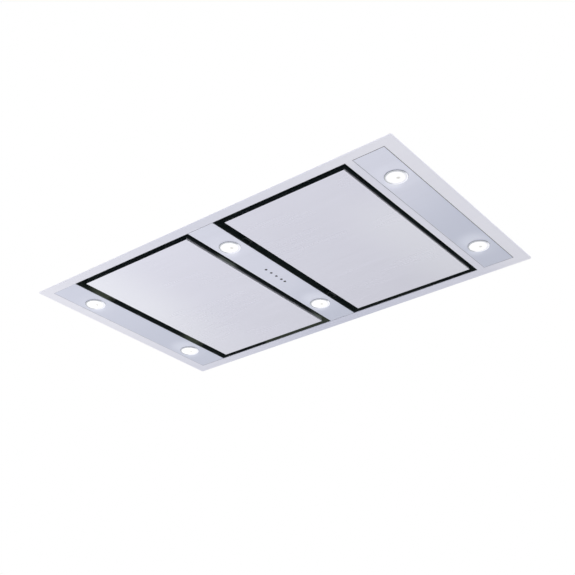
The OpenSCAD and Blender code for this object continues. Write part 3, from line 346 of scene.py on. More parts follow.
def group_zinc_spangle():
    """The crystal pattern of hot-dip galvanised sheet."""
    group, given, made = make_group("zinc_spangle", [], ["Tone", "Height"])
    wobble = add(group, "TexNoise")
    wobble.inputs["Scale"].default_value = 120.0
    group.links.new(given["Vector"], wobble.inputs["Vector"])
    shifted = add(group, "VectorMath", operation="MULTIPLY_ADD")
    group.links.new(wobble.outputs["Color"], shifted.inputs[0])
    shifted.inputs[1].default_value = SPANGLE_WOBBLE
    group.links.new(given["Vector"], shifted.inputs[2])
    cells = add(group, "TexVoronoi", feature="F1")
    cells.inputs["Scale"].default_value = 95.0
    group.links.new(shifted.outputs["Vector"], cells.inputs["Vector"])
    split = add(group, "SeparateColor")
    group.links.new(cells.outputs["Color"], split.inputs["Color"])
    streak = noise(group, stretched(group, shifted.outputs["Vector"], SPANGLE_STREAKS))
    value = plus(group, times(group, split.outputs["Red"], CRYSTAL_SHARE), times(group, streak, STREAK_SHARE))
    return give(group, made, Tone=value, Height=cells.outputs["Distance"])


def group_settled_dust():
    """Pale dust in uneven films on the faces that look up."""
    group, given, made = make_group("settled_dust", [], ["Mask"])
    upward = ramp(group, axes(group, add(group, "NewGeometry").outputs["Normal"])[2], (0.55, 0.95))
    film = ramp(group, noise(group, given["Vector"], 7.0, detail=5.0, roughness=0.6), (0.35, 0.75))
    grains = ramp(group, noise(group, given["Vector"], 420.0), (0.35, 0.7))
    return give(group, made, Mask=times(group, times(group, upward, film), grains))


def group_fine_texture():
    """The small even roughness of moulded plastic and powder coat."""
    group, given, made = make_group("fine_texture", [("Scale", "Float", 900.0)], ["Height", "Tone"])
    pebble = add(group, "TexNoise")
    pebble.inputs["Detail"].default_value = 3.0
    group.links.new(given["Vector"], pebble.inputs["Vector"])
    group.links.new(given["Scale"], pebble.inputs["Scale"])
    cloud = noise(group, given["Vector"], 18.0, detail=4.0)
    return give(group, made, Height=pebble.outputs["Fac"], Tone=ramp(group, cloud, (0.3, 0.7)))


def middle(name):
    """The middle of a CAD node's box."""
    low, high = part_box(name)
    return (low + high) / 2


FACE_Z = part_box("centre_strip")[0].z
lamp_middles = [middle(f"lamp_lens_{i + 1}") for i in range(LAMPS)]
lamp_pitch_x = lamp_middles[2].x - lamp_middles[0].x
lamp_pitch_y = lamp_middles[1].y - lamp_middles[0].y
lamp_row_y = (lamp_middles[0].y + lamp_middles[1].y) / 2
bezel_low, bezel_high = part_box("lamp_bezel_1")
BEZEL_R = (bezel_high.x - bezel_low.x) / 2
# Where the painted lamp light on the strips lies: its shift from each lamp, its reach and its share.
SPOT_SHIFT, SPOT_REACH, SPOT_SHARE = (-15 * MM, 21 * MM), (7.5 * MM, 30 * MM), 0.35
WIDE_SHIFT, WIDE_REACH, WIDE_SHARE = (4 * MM, 0.0), (BEZEL_R * 0.9, BEZEL_R * 2.6), 0.12
BACK_SHIFT, BACK_REACH, BACK_ENDS = (6 * MM, -34 * MM), (BEZEL_R * 0.4, BEZEL_R * 1.9), (0.3, 0.0)


def off_lamp(group, x, y, shift):
    """The distance from a point that lies shifted from the nearest lamp's middle."""
    across = minus(group, x, lamp_middles[0].x + shift[0] - lamp_pitch_x / 2)
    across = minus(group, math_node(group, "FLOORED_MODULO", across, lamp_pitch_x), lamp_pitch_x / 2)
    along = minus(group, away(group, y, lamp_row_y + shift[1]), lamp_pitch_y / 2)
    return math_node(group, "SQRT", plus(group, times(group, across, across), times(group, along, along)))


def group_painted_lamp_glow():
    """Painted light on the strips, as if spilled from the lamps: a spot and a faint wide one at each lamp,
    and one before far lamps.
    """
    group, given, made = make_group("painted_lamp_glow", [], ["Value"])
    x, y, _ = axes(group, given["Vector"])
    spot = ramp(group, off_lamp(group, x, y, SPOT_SHIFT), SPOT_REACH, FALLING)
    wide = ramp(group, off_lamp(group, x, y, WIDE_SHIFT), WIDE_REACH, FALLING)
    backward = ramp(group, off_lamp(group, x, y, BACK_SHIFT), BACK_REACH, BACK_ENDS)
    backward = times(group, backward, math_node(group, "GREATER_THAN", y, 0.0))
    total = plus(group, times(group, spot, SPOT_SHARE), times(group, wide, WIDE_SHARE))
    return give(group, made, Value=plus(group, total, backward))


# Each of the left panel's two gaps: its reach in X, and the middle and half spacing of its painted glimmers
# in Y.
GLIMMERING_GAPS = (((-600 * MM, -300 * MM), -29 * MM, 193 * MM),
                   ((-300 * MM, -20 * MM), 74 * MM, 214 * MM))
GLIMMER_SIZE, GLIMMER_WAVE = (20 * MM, 68 * MM), 20 * MM
GLIMMER_Z = (26 * MM, 38 * MM)


def group_painted_gap_glimmers():
    """Painted light from the lamps in the gaps at the left panel's sides, low on the walls."""
    group, given, made = make_group("painted_gap_glimmers", [], ["Value"])
    x, y, z = axes(group, given["Vector"])
    uneven = times(group, noise(group, given["Vector"], 40.0), GLIMMER_WAVE)
    total = None
    for (start, end), row_y, half in GLIMMERING_GAPS:
        off_glimmer = away(group, away(group, y, row_y), half)
        spot = ramp(group, plus(group, off_glimmer, uneven), GLIMMER_SIZE, FALLING)
        past_start = math_node(group, "GREATER_THAN", x, start)
        before_end = math_node(group, "LESS_THAN", x, end)
        spot = times(group, spot, times(group, past_start, before_end))
        total = plus(group, total, spot) if total else spot
    return give(group, made, Value=times(group, total, ramp(group, z, GLIMMER_Z, FALLING)))


GRAIN = group_brushed_grain()
PATCHES = group_soft_patches()
WALLS = group_edge_walls()
PAINTED_LIGHT_AND_SHADE = group_painted_light_and_shade()
SCRATCHES = group_fine_scratches()
SPANGLE = group_zinc_spangle()
DUST = group_settled_dust()
TEXTURE = group_fine_texture()
PAINTED_LAMP_GLOW = group_painted_lamp_glow()
PAINTED_GLIMMERS = group_painted_gap_glimmers()


# Materials

class Finish:
    """A material under construction: one Principled shader, read in Object coordinates."""

    def __init__(self, name, metallic=0.0, **plain):
        """Starts a material; plain values are sockets of the shader, with _ for a space."""
        self.material = bpy.data.materials.new(name)
        self.material.use_nodes = True
        self.tree = self.material.node_tree
        self.shader = self.tree.nodes["Principled BSDF"]
        self.shader.inputs["Metallic"].default_value = metallic
        for key, value in plain.items():
            self.shader.inputs[key.replace("_", " ")].default_value = value
        self.place = add(self.tree, "TexCoord").outputs["Object"]

    def group(self, group, **values):
        """The outputs of a shared effect, placed with its own values."""
        node = add(self.tree, "Group", node_tree=group)
        self.tree.links.new(self.place, node.inputs["Vector"])
        for key, value in values.items():
            node.inputs[key].default_value = value
        return node.outputs

    def attribute(self, name):
        """A value that a piece's vertices carry."""
        return add(self.tree, "Attribute", attribute_name=name).outputs["Fac"]

    def mix(self, factor, a, b):
        """Colour a turning to b as factor goes from 0 to 1; a and b are colours or sockets."""
        node = add(self.tree, "Mix", data_type="RGBA")
        self.tree.links.new(factor, node.inputs[0])
        for socket, value in ((node.inputs[6], a), (node.inputs[7], b)):
            if isinstance(value, tuple):
                socket.default_value = value
            else:
                self.tree.links.new(value, socket)
        return node.outputs[2]

    def toned(self, mask, colour, darkest, lightest):
        """The colour, darker and lighter by factors as a mask goes from 0 to 1."""
        return self.mix(mask, shade(colour, darkest), shade(colour, lightest))

    def tinted(self, base, mask, share, colour):
        """The base, turned towards a colour by a share of a mask."""
        return self.mix(times(self.tree, mask, share), base, colour)

    def feed(self, socket, source):
        """Connects a source to the shader."""
        self.tree.links.new(source, self.shader.inputs[socket])

    def rough(self, mask, limits, smooth=True):
        """Roughness that goes from one limit to the other with a mask."""
        self.feed("Roughness", ramp(self.tree, mask, WHOLE, limits, smooth))

    def shine(self, colour, strength=1.0):
        """Gives the surface light of its own."""
        self.feed("Emission Color", colour)
        self.shader.inputs["Emission Strength"].default_value = strength

    def bump(self, height, strength, distance=0.2 * MM):
        """Fine relief that only the shading shows."""
        node = add(self.tree, "Bump")
        node.inputs["Strength"].default_value = strength
        node.inputs["Distance"].default_value = distance
        self.tree.links.new(height, node.inputs["Height"])
        self.feed("Normal", node.outputs["Normal"])


WALL_ROUGHNESS = 0.7


def matt_ends_with_painted_shade(finish, base, folds):
    """The base, matt on the folds at a panel's ends, with painted shade that darkens them the further they
    reach up the gap, and a faint painted light with painted glimmers of the lamps there.
    """
    gap_shade_mask = times(finish.tree, folds["End"], folds["Depth"])
    painted_glimmer = finish.mix(finish.group(PAINTED_GLIMMERS)["Value"], GAP_PAINTED_LIGHT, GAP_PAINTED_GLIMMER)
    finish.shine(finish.mix(gap_shade_mask, NO_LIGHT, painted_glimmer))
    finish.feed("Metallic", minus(finish.tree, 1.0, folds["End"]))
    return finish.mix(gap_shade_mask, base, GAP_SHADE)


def brushed_steel(name, colour, painted_tone, grain=SHEET_GRAIN, contrast=0.03, rough=(0.3, 0.42), painted_glow=0.0,
                  scratched=0.18, matt_shaded_ends=False):
    """Satin sheet with a fine grain, cloudy patches and a few light scratches.

    The painted tone is an output of the painted light and shade group and the sheet's colour where that is 1,
    a painted shade or a painted light. Painted glow is how strongly painted lamp light shines in the sheet.
    Matt shaded ends give a panel's end folds painted shade and painted light in the gaps.
    """
    finish = Finish(name, metallic=1.0)
    tree = finish.tree
    lines = finish.group(GRAIN, Scale=grain)
    patches = finish.group(PATCHES, Scale=(1.6, 2.4, 2.4))["Value"]
    base = finish.toned(lines["Tone"], colour, 1 - contrast, 1 + contrast)
    base = finish.tinted(base, patches, 0.5, shade(colour, 0.95))
    # Painted shade or painted light, slow over the whole hood.
    output, painted_colour = painted_tone
    base = finish.mix(finish.group(PAINTED_LIGHT_AND_SHADE)[output], base, painted_colour)
    base = finish.tinted(base, finish.group(SCRATCHES)["Mask"], scratched, shade(colour, 1.12))
    folds = finish.group(WALLS)
    if matt_shaded_ends:
        base = matt_ends_with_painted_shade(finish, base, folds)
    finish.feed("Base Color", base)
    smooth = finish.group(PATCHES, Scale=(3.0, 5.0, 5.0))["Value"]
    blend = plus(tree, times(tree, lines["Tone"], 0.5), times(tree, smooth, 0.5))
    satin = ramp(tree, blend, WHOLE, rough, smooth=False)
    walls = times(tree, folds["End" if matt_shaded_ends else "Mask"], WALL_ROUGHNESS)
    finish.feed("Roughness", larger(tree, satin, walls))
    finish.bump(lines["Height"], 0.06, 0.1 * MM)
    # Painted light from the lamps, glowing in the sheet.
    if painted_glow:
        finish.shine(finish.mix(finish.group(PAINTED_LAMP_GLOW)["Value"], NO_LIGHT, WHITE), painted_glow)
    return finish.material


def galvanised(name, colour, contrast=0.16, dust=0.5):
    """Zinc-coated sheet with its spangle, and dust where it faces up."""
    finish = Finish(name, metallic=0.85)
    crystals = finish.group(SPANGLE)
    patches = finish.group(PATCHES, Scale=(4.0, 4.0, 4.0))["Value"]
    base = finish.toned(crystals["Tone"], colour, 1 - contrast, 1 + contrast)
    base = finish.tinted(base, patches, 0.4, shade(colour, 0.88))
    finish.feed("Base Color", finish.tinted(base, finish.group(DUST)["Mask"], dust, DUST_ON_ZINC))
    finish.rough(crystals["Tone"], (0.34, 0.52), smooth=False)
    finish.bump(crystals["Height"], 0.05, 0.3 * MM)
    return finish.material


def bare_metal(name, colour, rough=(0.25, 0.4), grain=(60.0, 60.0, 900.0), contrast=0.08, sides=None,
               lit=None):
    """Bare rolled or turned metal with rub marks.

    Sides is a darker colour painted on its upright sides as shade. Lit is a painted-shade colour for the side
    away from the lamp, and the painted light on the side that faces it.
    """
    finish = Finish(name, metallic=1.0)
    lines = finish.group(GRAIN, Scale=grain)
    patches = finish.group(PATCHES, Scale=(12.0, 12.0, 12.0))["Value"]
    base = finish.toned(lines["Tone"], colour, 1 - contrast, 1 + contrast)
    base = finish.tinted(base, patches, 0.5, shade(colour, 0.86))
    base = finish.tinted(base, finish.group(SCRATCHES)["Mask"], 0.5, shade(colour, 1.15))
    # Painted shade off the lamp's side, and painted light on the side that faces it.
    if lit:
        unlit, light = lit
        painted_glare = finish.attribute("painted_glare")
        base = finish.mix(painted_glare, unlit, base)
        finish.shine(finish.mix(painted_glare, NO_LIGHT, light))
    # Painted shade on the upright sides.
    if sides:
        base = finish.mix(finish.group(WALLS)["Mask"], base, sides)
    finish.feed("Base Color", base)
    finish.rough(patches, rough)
    finish.bump(lines["Height"], 0.08, 0.1 * MM)
    return finish.material


def textured_coat(name, colour, scale=900.0, rough=(0.42, 0.6), bump=0.12, dust=0.0, worn=1.3, thin=None,
                  shine=0.5, painted_glimmer=None):
    """Powder coat or moulded plastic: a fine pebble, cloudy tone and paler rubbed patches.

    A colour given as thin shows through in broad patches. The painted glimmer is its painted light, far from
    the lamps and near them.
    """
    finish = Finish(name, Specular_IOR_Level=shine)
    pebble = finish.group(TEXTURE, Scale=scale)
    base = finish.toned(pebble["Tone"], colour, 0.86, 1.12)
    base = finish.tinted(base, finish.group(SCRATCHES)["Mask"], 0.4, shade(colour, worn))
    if thin:
        patches = finish.group(PATCHES, Scale=(9.0, 9.0, 9.0))["Value"]
        base = finish.mix(math_node(finish.tree, "POWER", patches, 2.0), base, thin)
    if dust:
        base = finish.tinted(base, finish.group(DUST)["Mask"], dust, DUST_ON_BLACK)
    # Painted light: glimmers of the lamps, and a faint glow elsewhere.
    if painted_glimmer:
        finish.shine(finish.mix(finish.group(PAINTED_GLIMMERS)["Value"], *painted_glimmer))
    finish.feed("Base Color", base)
    finish.rough(pebble["Tone"], rough)
    finish.bump(pebble["Height"], bump)
    return finish.material


RIM_FADE, CHIP_FADE, RIM_CLOUD = (0.74, 1.0), (0.04, 0.34), 0.03


def lit_opal(name):
    """A lit diffuser: white, dimmer towards its rim, with a faint mark of the chip behind it."""
    finish = Finish(name, Roughness=0.35)
    cloud = times(finish.tree, noise(finish.tree, finish.place, 160.0), RIM_CLOUD)
    rim = ramp(finish.tree, plus(finish.tree, finish.attribute("from_lit"), cloud), RIM_FADE)
    chip = ramp(finish.tree, finish.attribute("from_chip"), CHIP_FADE, FALLING)
    finish.shine(finish.mix(chip, finish.mix(rim, OPAL_LIGHT, RIM_LIGHT), CHIP_LIGHT))
    finish.feed("Base Color", finish.mix(chip, finish.mix(rim, OPAL, RIM_SHADE), CHIP_SHADE))
    return finish.material


def circuit_board(name):
    """Solder mask with paler tracks under it."""
    finish = Finish(name, Coat_Weight=0.3)
    tracks = add(finish.tree, "TexBrick", offset=0.5)
    finish.tree.links.new(finish.place, tracks.inputs["Vector"])
    for socket, value in (("Scale", 160.0), ("Mortar Size", 0.03), ("Color1", BOARD_GREEN),
                          ("Color2", shade(BOARD_GREEN, 0.85)), ("Mortar", shade(BOARD_GREEN, 1.6))):
        tracks.inputs[socket].default_value = value
    patches = finish.group(PATCHES, Scale=(30.0, 30.0, 30.0))["Value"]
    finish.feed("Base Color", finish.tinted(tracks.outputs["Color"], patches, 0.5, shade(BOARD_GREEN, 0.7)))
    finish.rough(patches, (0.25, 0.4))
    finish.bump(tracks.outputs["Fac"], 0.1, 0.1 * MM)
    return finish.material


frame_steel = brushed_steel("frame_steel", FRAME_STEEL, ("Frame", FRAME_PAINTED_SHADE_STEEL), contrast=0.02,
                            rough=(0.4, 0.5))
strip_steel = brushed_steel("strip_steel", STRIP_STEEL, ("Strips", STRIP_PAINTED_SHADE_STEEL),
                            grain=(9.0, 650.0, 650.0), rough=(0.38, 0.46), painted_glow=0.27)
panel_steel = brushed_steel("panel_steel", PANEL_STEEL, ("Ends", PANEL_PAINTED_LIGHT_STEEL), rough=(0.22, 0.3),
                            scratched=0.05, matt_shaded_ends=True)
bezel_steel = bare_metal("bezel_steel", BEZEL_STEEL, rough=(0.22, 0.34), grain=(300.0, 300.0, 2500.0),
                         contrast=0.04, sides=BEZEL_SHADED_SIDE, lit=(BEZEL_UNLIT, BEZEL_LIGHT))
zinc_sheet = galvanised("zinc_sheet", ZINC)
tray_zinc = galvanised("tray_zinc", TRAY_ZINC, contrast=0.1, dust=0.15)
aluminium = bare_metal("aluminium", ALUMINIUM)
mesh_aluminium = bare_metal("mesh_aluminium", MESH_ALUMINIUM, rough=(0.3, 0.5), grain=(400.0, 400.0, 400.0))
wheel_aluminium = bare_metal("wheel_aluminium", WHEEL_ALUMINIUM, rough=(0.35, 0.5), grain=(9.0, 500.0, 500.0))
bright_steel = bare_metal("bright_steel", BRIGHT_STEEL, rough=(0.16, 0.3), grain=(900.0, 60.0, 60.0))
weld_grey = bare_metal("weld_grey", WELD_GREY, rough=(0.4, 0.55), grain=(200.0, 200.0, 200.0))
# The liners and hinges shine with painted glimmers of lamp light.
liner_black = textured_coat("liner_black", LINER_BLACK, scale=1400.0, rough=(0.4, 0.55), thin=LINER_THIN,
                            painted_glimmer=(LINER_PAINTED_LIGHT, LINER_PAINTED_GLIMMER))
hinge_black = textured_coat("hinge_black", HINGE_BLACK, scale=1800.0, rough=(0.5, 0.62), shine=0.12,
                            painted_glimmer=(LINER_PAINTED_LIGHT, LINER_PAINTED_GLIMMER))
black_plastic = textured_coat("black_plastic", PLASTIC_BLACK, scale=1100.0, dust=0.35)
button_plastic = textured_coat("button_plastic", BUTTON_BLACK, scale=2600.0, rough=(0.3, 0.42), bump=0.06,
                               shine=0.25)
white_plastic = textured_coat("white_plastic", PLASTIC_WHITE, scale=1000.0, rough=(0.35, 0.5), worn=0.9)
motor_paint = textured_coat("motor_paint", MOTOR_GREY, scale=700.0, rough=(0.4, 0.55), bump=0.2)
# Seal coats, also laid as beads of painted shade in the seams and round the bezels.
seal_and_shadow_black = textured_coat("seal_and_shadow_black", SEAL_AND_SHADOW_BLACK, scale=3000.0, rough=(0.6, 0.75), bump=0.3)
seal_and_shade_grey = textured_coat("seal_and_shade_grey", SEAL_AND_SHADE_GREY, scale=3000.0, rough=(0.5, 0.65), bump=0.2)
board_green = circuit_board("board_green")
opal_lit = lit_opal("opal_lit")

FINISH_OF = {
    "ceiling_frame": frame_steel, "centre_strip": strip_steel,
    "housing_shell": zinc_sheet, "top_cover": zinc_sheet, "hanger_brackets": zinc_sheet,
    "hinge_brackets": hinge_black, "hinge_pins": hinge_black, "catch_magnets": black_plastic,
    "fan_wheel": wheel_aluminium, "motor_shaft": bright_steel, "fan_motor": motor_paint,
    "motor_bracket": hinge_black, "run_capacitor": white_plastic, "outlet_collar": zinc_sheet,
    "damper_pin": bright_steel, "near_damper_flap": aluminium, "far_damper_flap": aluminium,
    "control_box": black_plastic, "control_box_lid": black_plastic, "control_board": board_green,
    "lamp_driver": white_plastic, "cable_gland": black_plastic, "cover_screws": bright_steel,
    "lamp_bodies": aluminium, "button_board": board_green, "infrared_eye": button_plastic,
}
FINISH_OF_BOTH = {
    "light_strip": strip_steel, "recess_liner": liner_black, "suction_panel": panel_steel,
    "panel_tray": tray_zinc, "hinge_arms": hinge_black, "filter_frame": aluminium,
    "filter_mesh": mesh_aluminium, "filter_latch": black_plastic, "scroll_half": zinc_sheet,
}
for side in SIDES:
    FINISH_OF.update({f"{side}_{piece}": finish for piece, finish in FINISH_OF_BOTH.items()})
for i in range(LAMPS):
    FINISH_OF[f"lamp_bezel_{i + 1}"] = bezel_steel
    FINISH_OF[f"lamp_lens_{i + 1}"] = opal_lit
for i in range(BUTTONS):
    FINISH_OF[f"button_{i + 1}"] = button_plastic

for name, obj in nodes.items():
    obj.data.materials.clear()
    obj.data.materials.append(FINISH_OF[name])


# Making pieces

UP, DOWN = Vector((0, 0, 1)), Vector((0, 0, -1))
RIGHT, LEFT = Vector((1, 0, 0)), Vector((-1, 0, 0))
FAR, NEAR = Vector((0, 1, 0)), Vector((0, -1, 0))
ORIGIN = Vector((0, 0, 0))
SAME_POINT = 1e-7


def place_mesh(bm, name, material):
    """Turns a bmesh into an object of the scene."""
    mesh = bpy.data.meshes.new(name)
    bm.to_mesh(mesh)
    bm.free()
    mesh.materials.append(material)
    obj = bpy.data.objects.new(name, mesh)
    scene.collection.objects.link(obj)
    return obj


def keep(bm, name, material, body="hood", smooth=True):
    """Turns a bmesh into a piece that rides on a body."""
    bmesh.ops.remove_doubles(bm, verts=bm.verts, dist=SAME_POINT)
    bmesh.ops.recalc_face_normals(bm, faces=bm.faces)
    obj = place_mesh(bm, name, material)
    for face in obj.data.polygons:
        face.use_smooth = smooth
    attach(obj, body)
    return obj


def only(kind, items):
    """The vertices, edges or faces among what an operator made."""
    return [item for item in items if isinstance(item, kind)]


def spun(bm, profile, centre, steps=64):
    """Spins a profile of (radius, height) points about a vertical axis through centre."""
    verts = [bm.verts.new((centre.x + r, centre.y, z)) for r, z in profile]
    edges = [bm.edges.new(pair) for pair in zip(verts, verts[1:])]
    bmesh.ops.spin(bm, geom=verts + edges, cent=centre, axis=(0, 0, 1), angle=math.tau, steps=steps,
                   use_merge=True)


def steps_from(radius, z, steps):
    """A profile given as millimetres outward and up from a radius and a height."""
    return [(radius + out * MM, z + up * MM) for out, up in steps]


def turned(bm, shares, radius, height, steps):
    """A small turned form on z = 0, whose profile is in shares of its radius and height."""
    spun(bm, [(radius * out, height * up) for out, up in shares], ORIGIN, steps)


DOME = ((1.0, 0.0), (0.92, 0.45), (0.6, 0.85), (0.0, 1.0))
SOCKET_HEAD = ((1.45, 0.0), (1.45, 0.18), (1.38, 0.26), (1.0, 0.26), (1.0, 0.62), (0.86, 0.88), (0.6, 1.0),
               (0.45, 1.0), (0.42, 0.5), (0.0, 0.45))
HEX_FLANGE = ((1.5, 0.0), (1.5, 0.15), (1.3, 0.3), (0.0, 0.35))
FLANGE_STEPS, HEX_CHAMFER = 20, (0.12, 0.1)


def hex_screw(bm, radius, height):
    """A hexagon head on its flange."""
    made = bmesh.ops.create_circle(bm, cap_ends=True, segments=6, radius=radius)["verts"]
    top = bmesh.ops.extrude_face_region(bm, geom=[made[0].link_faces[0]])["geom"]
    bmesh.ops.translate(bm, vec=(0, 0, height), verts=only(bmesh.types.BMVert, top))
    bmesh.ops.inset_individual(bm, faces=only(bmesh.types.BMFace, top), thickness=radius * HEX_CHAMFER[0],
                               depth=radius * HEX_CHAMFER[1])
    turned(bm, HEX_FLANGE, radius, height, FLANGE_STEPS)


RIDGE_STEPS, RIDGE_SEGMENTS = ((0.09, 0.5), (0.1, 0.32), (0.12, 0.18)), 16
ON_AXIS = 1e-4


def ridge(bm, length, width, height):
    """A pressed stiffening bead with round ends, along X on z = 0."""
    made = bmesh.ops.create_circle(bm, cap_ends=True, segments=RIDGE_SEGMENTS, radius=width / 2)["verts"]
    for vert in made:
        if abs(vert.co.x) > width * ON_AXIS:
            vert.co.x += math.copysign((length - width) / 2, vert.co.x)
    faces = [made[0].link_faces[0]]
    for inward, rise in RIDGE_STEPS:
        bmesh.ops.inset_individual(bm, faces=faces, thickness=width * inward, depth=height * rise)


def bar(bm, low, high, round_off):
    """A block between two corners, with its edges rounded off."""
    made = bmesh.ops.create_cube(bm, size=1)["verts"]
    bmesh.ops.scale(bm, vec=high - low, verts=made)
    bmesh.ops.translate(bm, vec=(low + high) / 2, verts=made)
    edges = {edge for vert in made for edge in vert.link_edges}
    bmesh.ops.bevel(bm, geom=list(edges), offset=round_off, segments=2, profile=0.5, affect="EDGES",
                    material=-1, clamp_overlap=True)


def repeat(bm, places):
    """Copies all that is in the bmesh to each place, (point, outward, along), and drops the first."""
    first = bm.verts[:] + bm.edges[:] + bm.faces[:]
    for point, outward, along in places:
        verts = only(bmesh.types.BMVert, bmesh.ops.duplicate(bm, geom=first)["geom"])
        turn = Matrix((along, outward.cross(along), outward)).transposed()
        bmesh.ops.rotate(bm, verts=verts, cent=ORIGIN, matrix=turn)
        bmesh.ops.translate(bm, verts=verts, vec=point)
    bmesh.ops.delete(bm, geom=only(bmesh.types.BMVert, first), context="VERTS")


def row(start, end, count):
    """Evenly spaced points from start to end."""
    return [start.lerp(end, (k + 0.5) / count) for k in range(count)]


def carry(obj, label, value_at):
    """Gives each of a piece's vertices a value for its material to read."""
    layer = obj.data.attributes.new(label, "FLOAT", "POINT")
    for vertex, value in zip(obj.data.vertices, layer.data):
        value.value = value_at(vertex.co)


# Lamps, seams and buttons

LENS_RISE, LENS_RIM, LENS_STEPS = 0.3 * MM, 1.0 * MM, 18
LIT_SHIFT, CHIP_SHIFT = -0.6 * MM, 3.6 * MM


def lamp_diffuser(number):
    """The lit lens: a shallow dome with a flat rim, which replaces the plain disc."""
    lens = f"lamp_lens_{number}"
    low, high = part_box(lens)
    centre = (low + high) / 2
    outer = (high.x - low.x) / 2
    seen = outer - LENS_RIM
    profile = [(seen * k / LENS_STEPS, low.z + LENS_RISE * (k / LENS_STEPS) ** 2)
               for k in range(LENS_STEPS + 1)]
    profile += [(outer, low.z + LENS_RISE), (outer, high.z), (0, high.z)]
    bm = bmesh.new()
    spun(bm, profile, centre)
    obj = keep(bm, f"lamp_diffuser_{number}", opal_lit)
    for label, shift in (("from_lit", LIT_SHIFT), ("from_chip", CHIP_SHIFT)):
        carry(obj, label, lambda at: math.hypot(at.x - centre.x - shift, at.y - centre.y - shift) / outer)
    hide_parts(lens)


BEZEL_SLOPE, BEZEL_BEND, BEZEL_STEPS = 1.2 * MM, 0.35 * MM, 96
BEND_ARC = [k * math.pi / 10 for k in range(5)]
SLEEVE_CLEAR, SLEEVE_WALL, LIP_WIDTH, LIP_HEIGHT = 0.3 * MM, 1.0 * MM, 0.9 * MM, 0.5 * MM
LIP_EDGE = ((0.0, 0.5), (0.0, 0.2), (0.2, 0.0), (0.7, 0.0), (0.85, 0.12), (1.0, 0.0))
# The side of each bezel that gets painted glare, and how it fades in.
GLARE_SIDE = Vector((0.36, 0.93)).normalized()
GLARE_START, GLARE_FULL = 0.1, 0.5


def lamp_ring(number):
    """The bezel with a rounded edge and a fine step round the lens, which replaces the plain ring, and
    carries where its painted glare goes.
    """
    bezel = f"lamp_bezel_{number}"
    low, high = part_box(bezel)
    lens_low, lens_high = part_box(f"lamp_lens_{number}")
    centre = (low + high) / 2
    outer = (high.x - low.x) / 2
    sleeve_in = (lens_high.x - lens_low.x) / 2 + SLEEVE_CLEAR
    sleeve_out = sleeve_in + SLEEVE_WALL
    lip = sleeve_in - LIP_WIDTH
    side = outer - BEZEL_SLOPE
    bend = [(side - BEZEL_BEND + BEZEL_BEND * math.sin(a), low.z + BEZEL_BEND - BEZEL_BEND * math.cos(a))
            for a in BEND_ARC]
    profile = steps_from(lip, low.z, LIP_EDGE) + bend
    profile += [(outer, FACE_Z), (sleeve_out, FACE_Z), (sleeve_out, high.z), (sleeve_in, high.z),
                (sleeve_in, low.z + LIP_HEIGHT), (lip, low.z + LIP_HEIGHT)]
    bm = bmesh.new()
    spun(bm, profile, centre, BEZEL_STEPS)
    obj = keep(bm, f"lamp_ring_{number}", bezel_steel)

    def glare_at(at):
        """Where the painted glare goes: 1 on the side that faces the lamp, 0 on the other."""
        out = Vector((at.x - centre.x, at.y - centre.y)).normalized().dot(GLARE_SIDE)
        share = min(max((out - GLARE_START) / (GLARE_FULL - GLARE_START), 0.0), 1.0)
        return share * share * (3 - 2 * share)

    carry(obj, "painted_glare", glare_at)
    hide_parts(bezel)


GASKET = ((-0.6, 0.0), (-0.6, -0.35), (0.1, -0.35), (0.3, -0.2), (0.3, 0.0), (-0.6, 0.0))
GASKET_STEPS = 72


def lamp_gaskets():
    """The thin foam rings that seal the bezels to the strips; their grey also paints the shade line round
    each bezel.
    """
    bm = bmesh.new()
    for centre in lamp_middles:
        spun(bm, steps_from(BEZEL_R, FACE_Z, GASKET), centre, GASKET_STEPS)
    keep(bm, "lamp_gaskets", seal_and_shade_grey)


# Beads that paint the shade in the strips' seams: the seam's width, the beads' shape, and how wide each
# strip's near-end bead is.
SEAM = 0.8 * MM
SHADE_BEAD_ROUND = 0.12 * MM
SHADE_BEAD_TOP, SHADE_BEAD_LOW = FACE_Z + 1.0 * MM, FACE_Z + 0.06 * MM
END_SHADE_BEADS = {"right_light_strip": 1.7 * MM, "centre_strip": 1.1 * MM, "left_light_strip": 0.9 * MM}
FAR_LAP, SIDE_LAP = 0.2 * MM, 0.9 * MM


def seal(bm, start, end):
    """A bead of painted shade between two corners of a seam, given as (x, y)."""
    bar(bm, Vector((*start, SHADE_BEAD_LOW)), Vector((*end, SHADE_BEAD_TOP)), SHADE_BEAD_ROUND)


def seam_shade_beads():
    """Beads in the strips' seams that paint their shade: dark ones as hairline shadows, paler ones as softer
    shade elsewhere.
    """
    dark, pale = bmesh.new(), bmesh.new()
    for name, width in END_SHADE_BEADS.items():
        a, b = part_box(name)
        inner = width - SEAM
        seal(pale if name == "left_light_strip" else dark, (a.x, a.y - SEAM), (b.x, a.y + inner))
        seal(pale, (a.x, b.y - FAR_LAP), (b.x, b.y + SEAM))
        if name == "right_light_strip":
            seal(dark, (b.x - inner, a.y - SEAM), (b.x + SEAM, b.y + SEAM))
        if name != "centre_strip":
            seal(pale, (a.x - SEAM, a.y), (a.x + SIDE_LAP, b.y))
    keep(dark, "dark_seam_shadow_beads", seal_and_shadow_black, smooth=False)
    keep(pale, "pale_seam_shade_beads", seal_and_shade_grey, smooth=False)


RING_INNER, RING_STEPS = 2.62 * MM, 32
BUTTON_RING = ((0.0, 0.3), (0.0, -0.1), (0.2, -0.2), (0.98, -0.16), (1.28, 0.0), (0.0, 0.3))


def button_rings():
    """Moulded rings pressed into the strip round the buttons and the eye."""
    bm = bmesh.new()
    for name in [f"button_{i + 1}" for i in range(BUTTONS)] + ["infrared_eye"]:
        spun(bm, steps_from(RING_INNER, FACE_Z, BUTTON_RING), middle(name), RING_STEPS)
    keep(bm, "button_rings", button_plastic)


# Backs of the panels, and filters

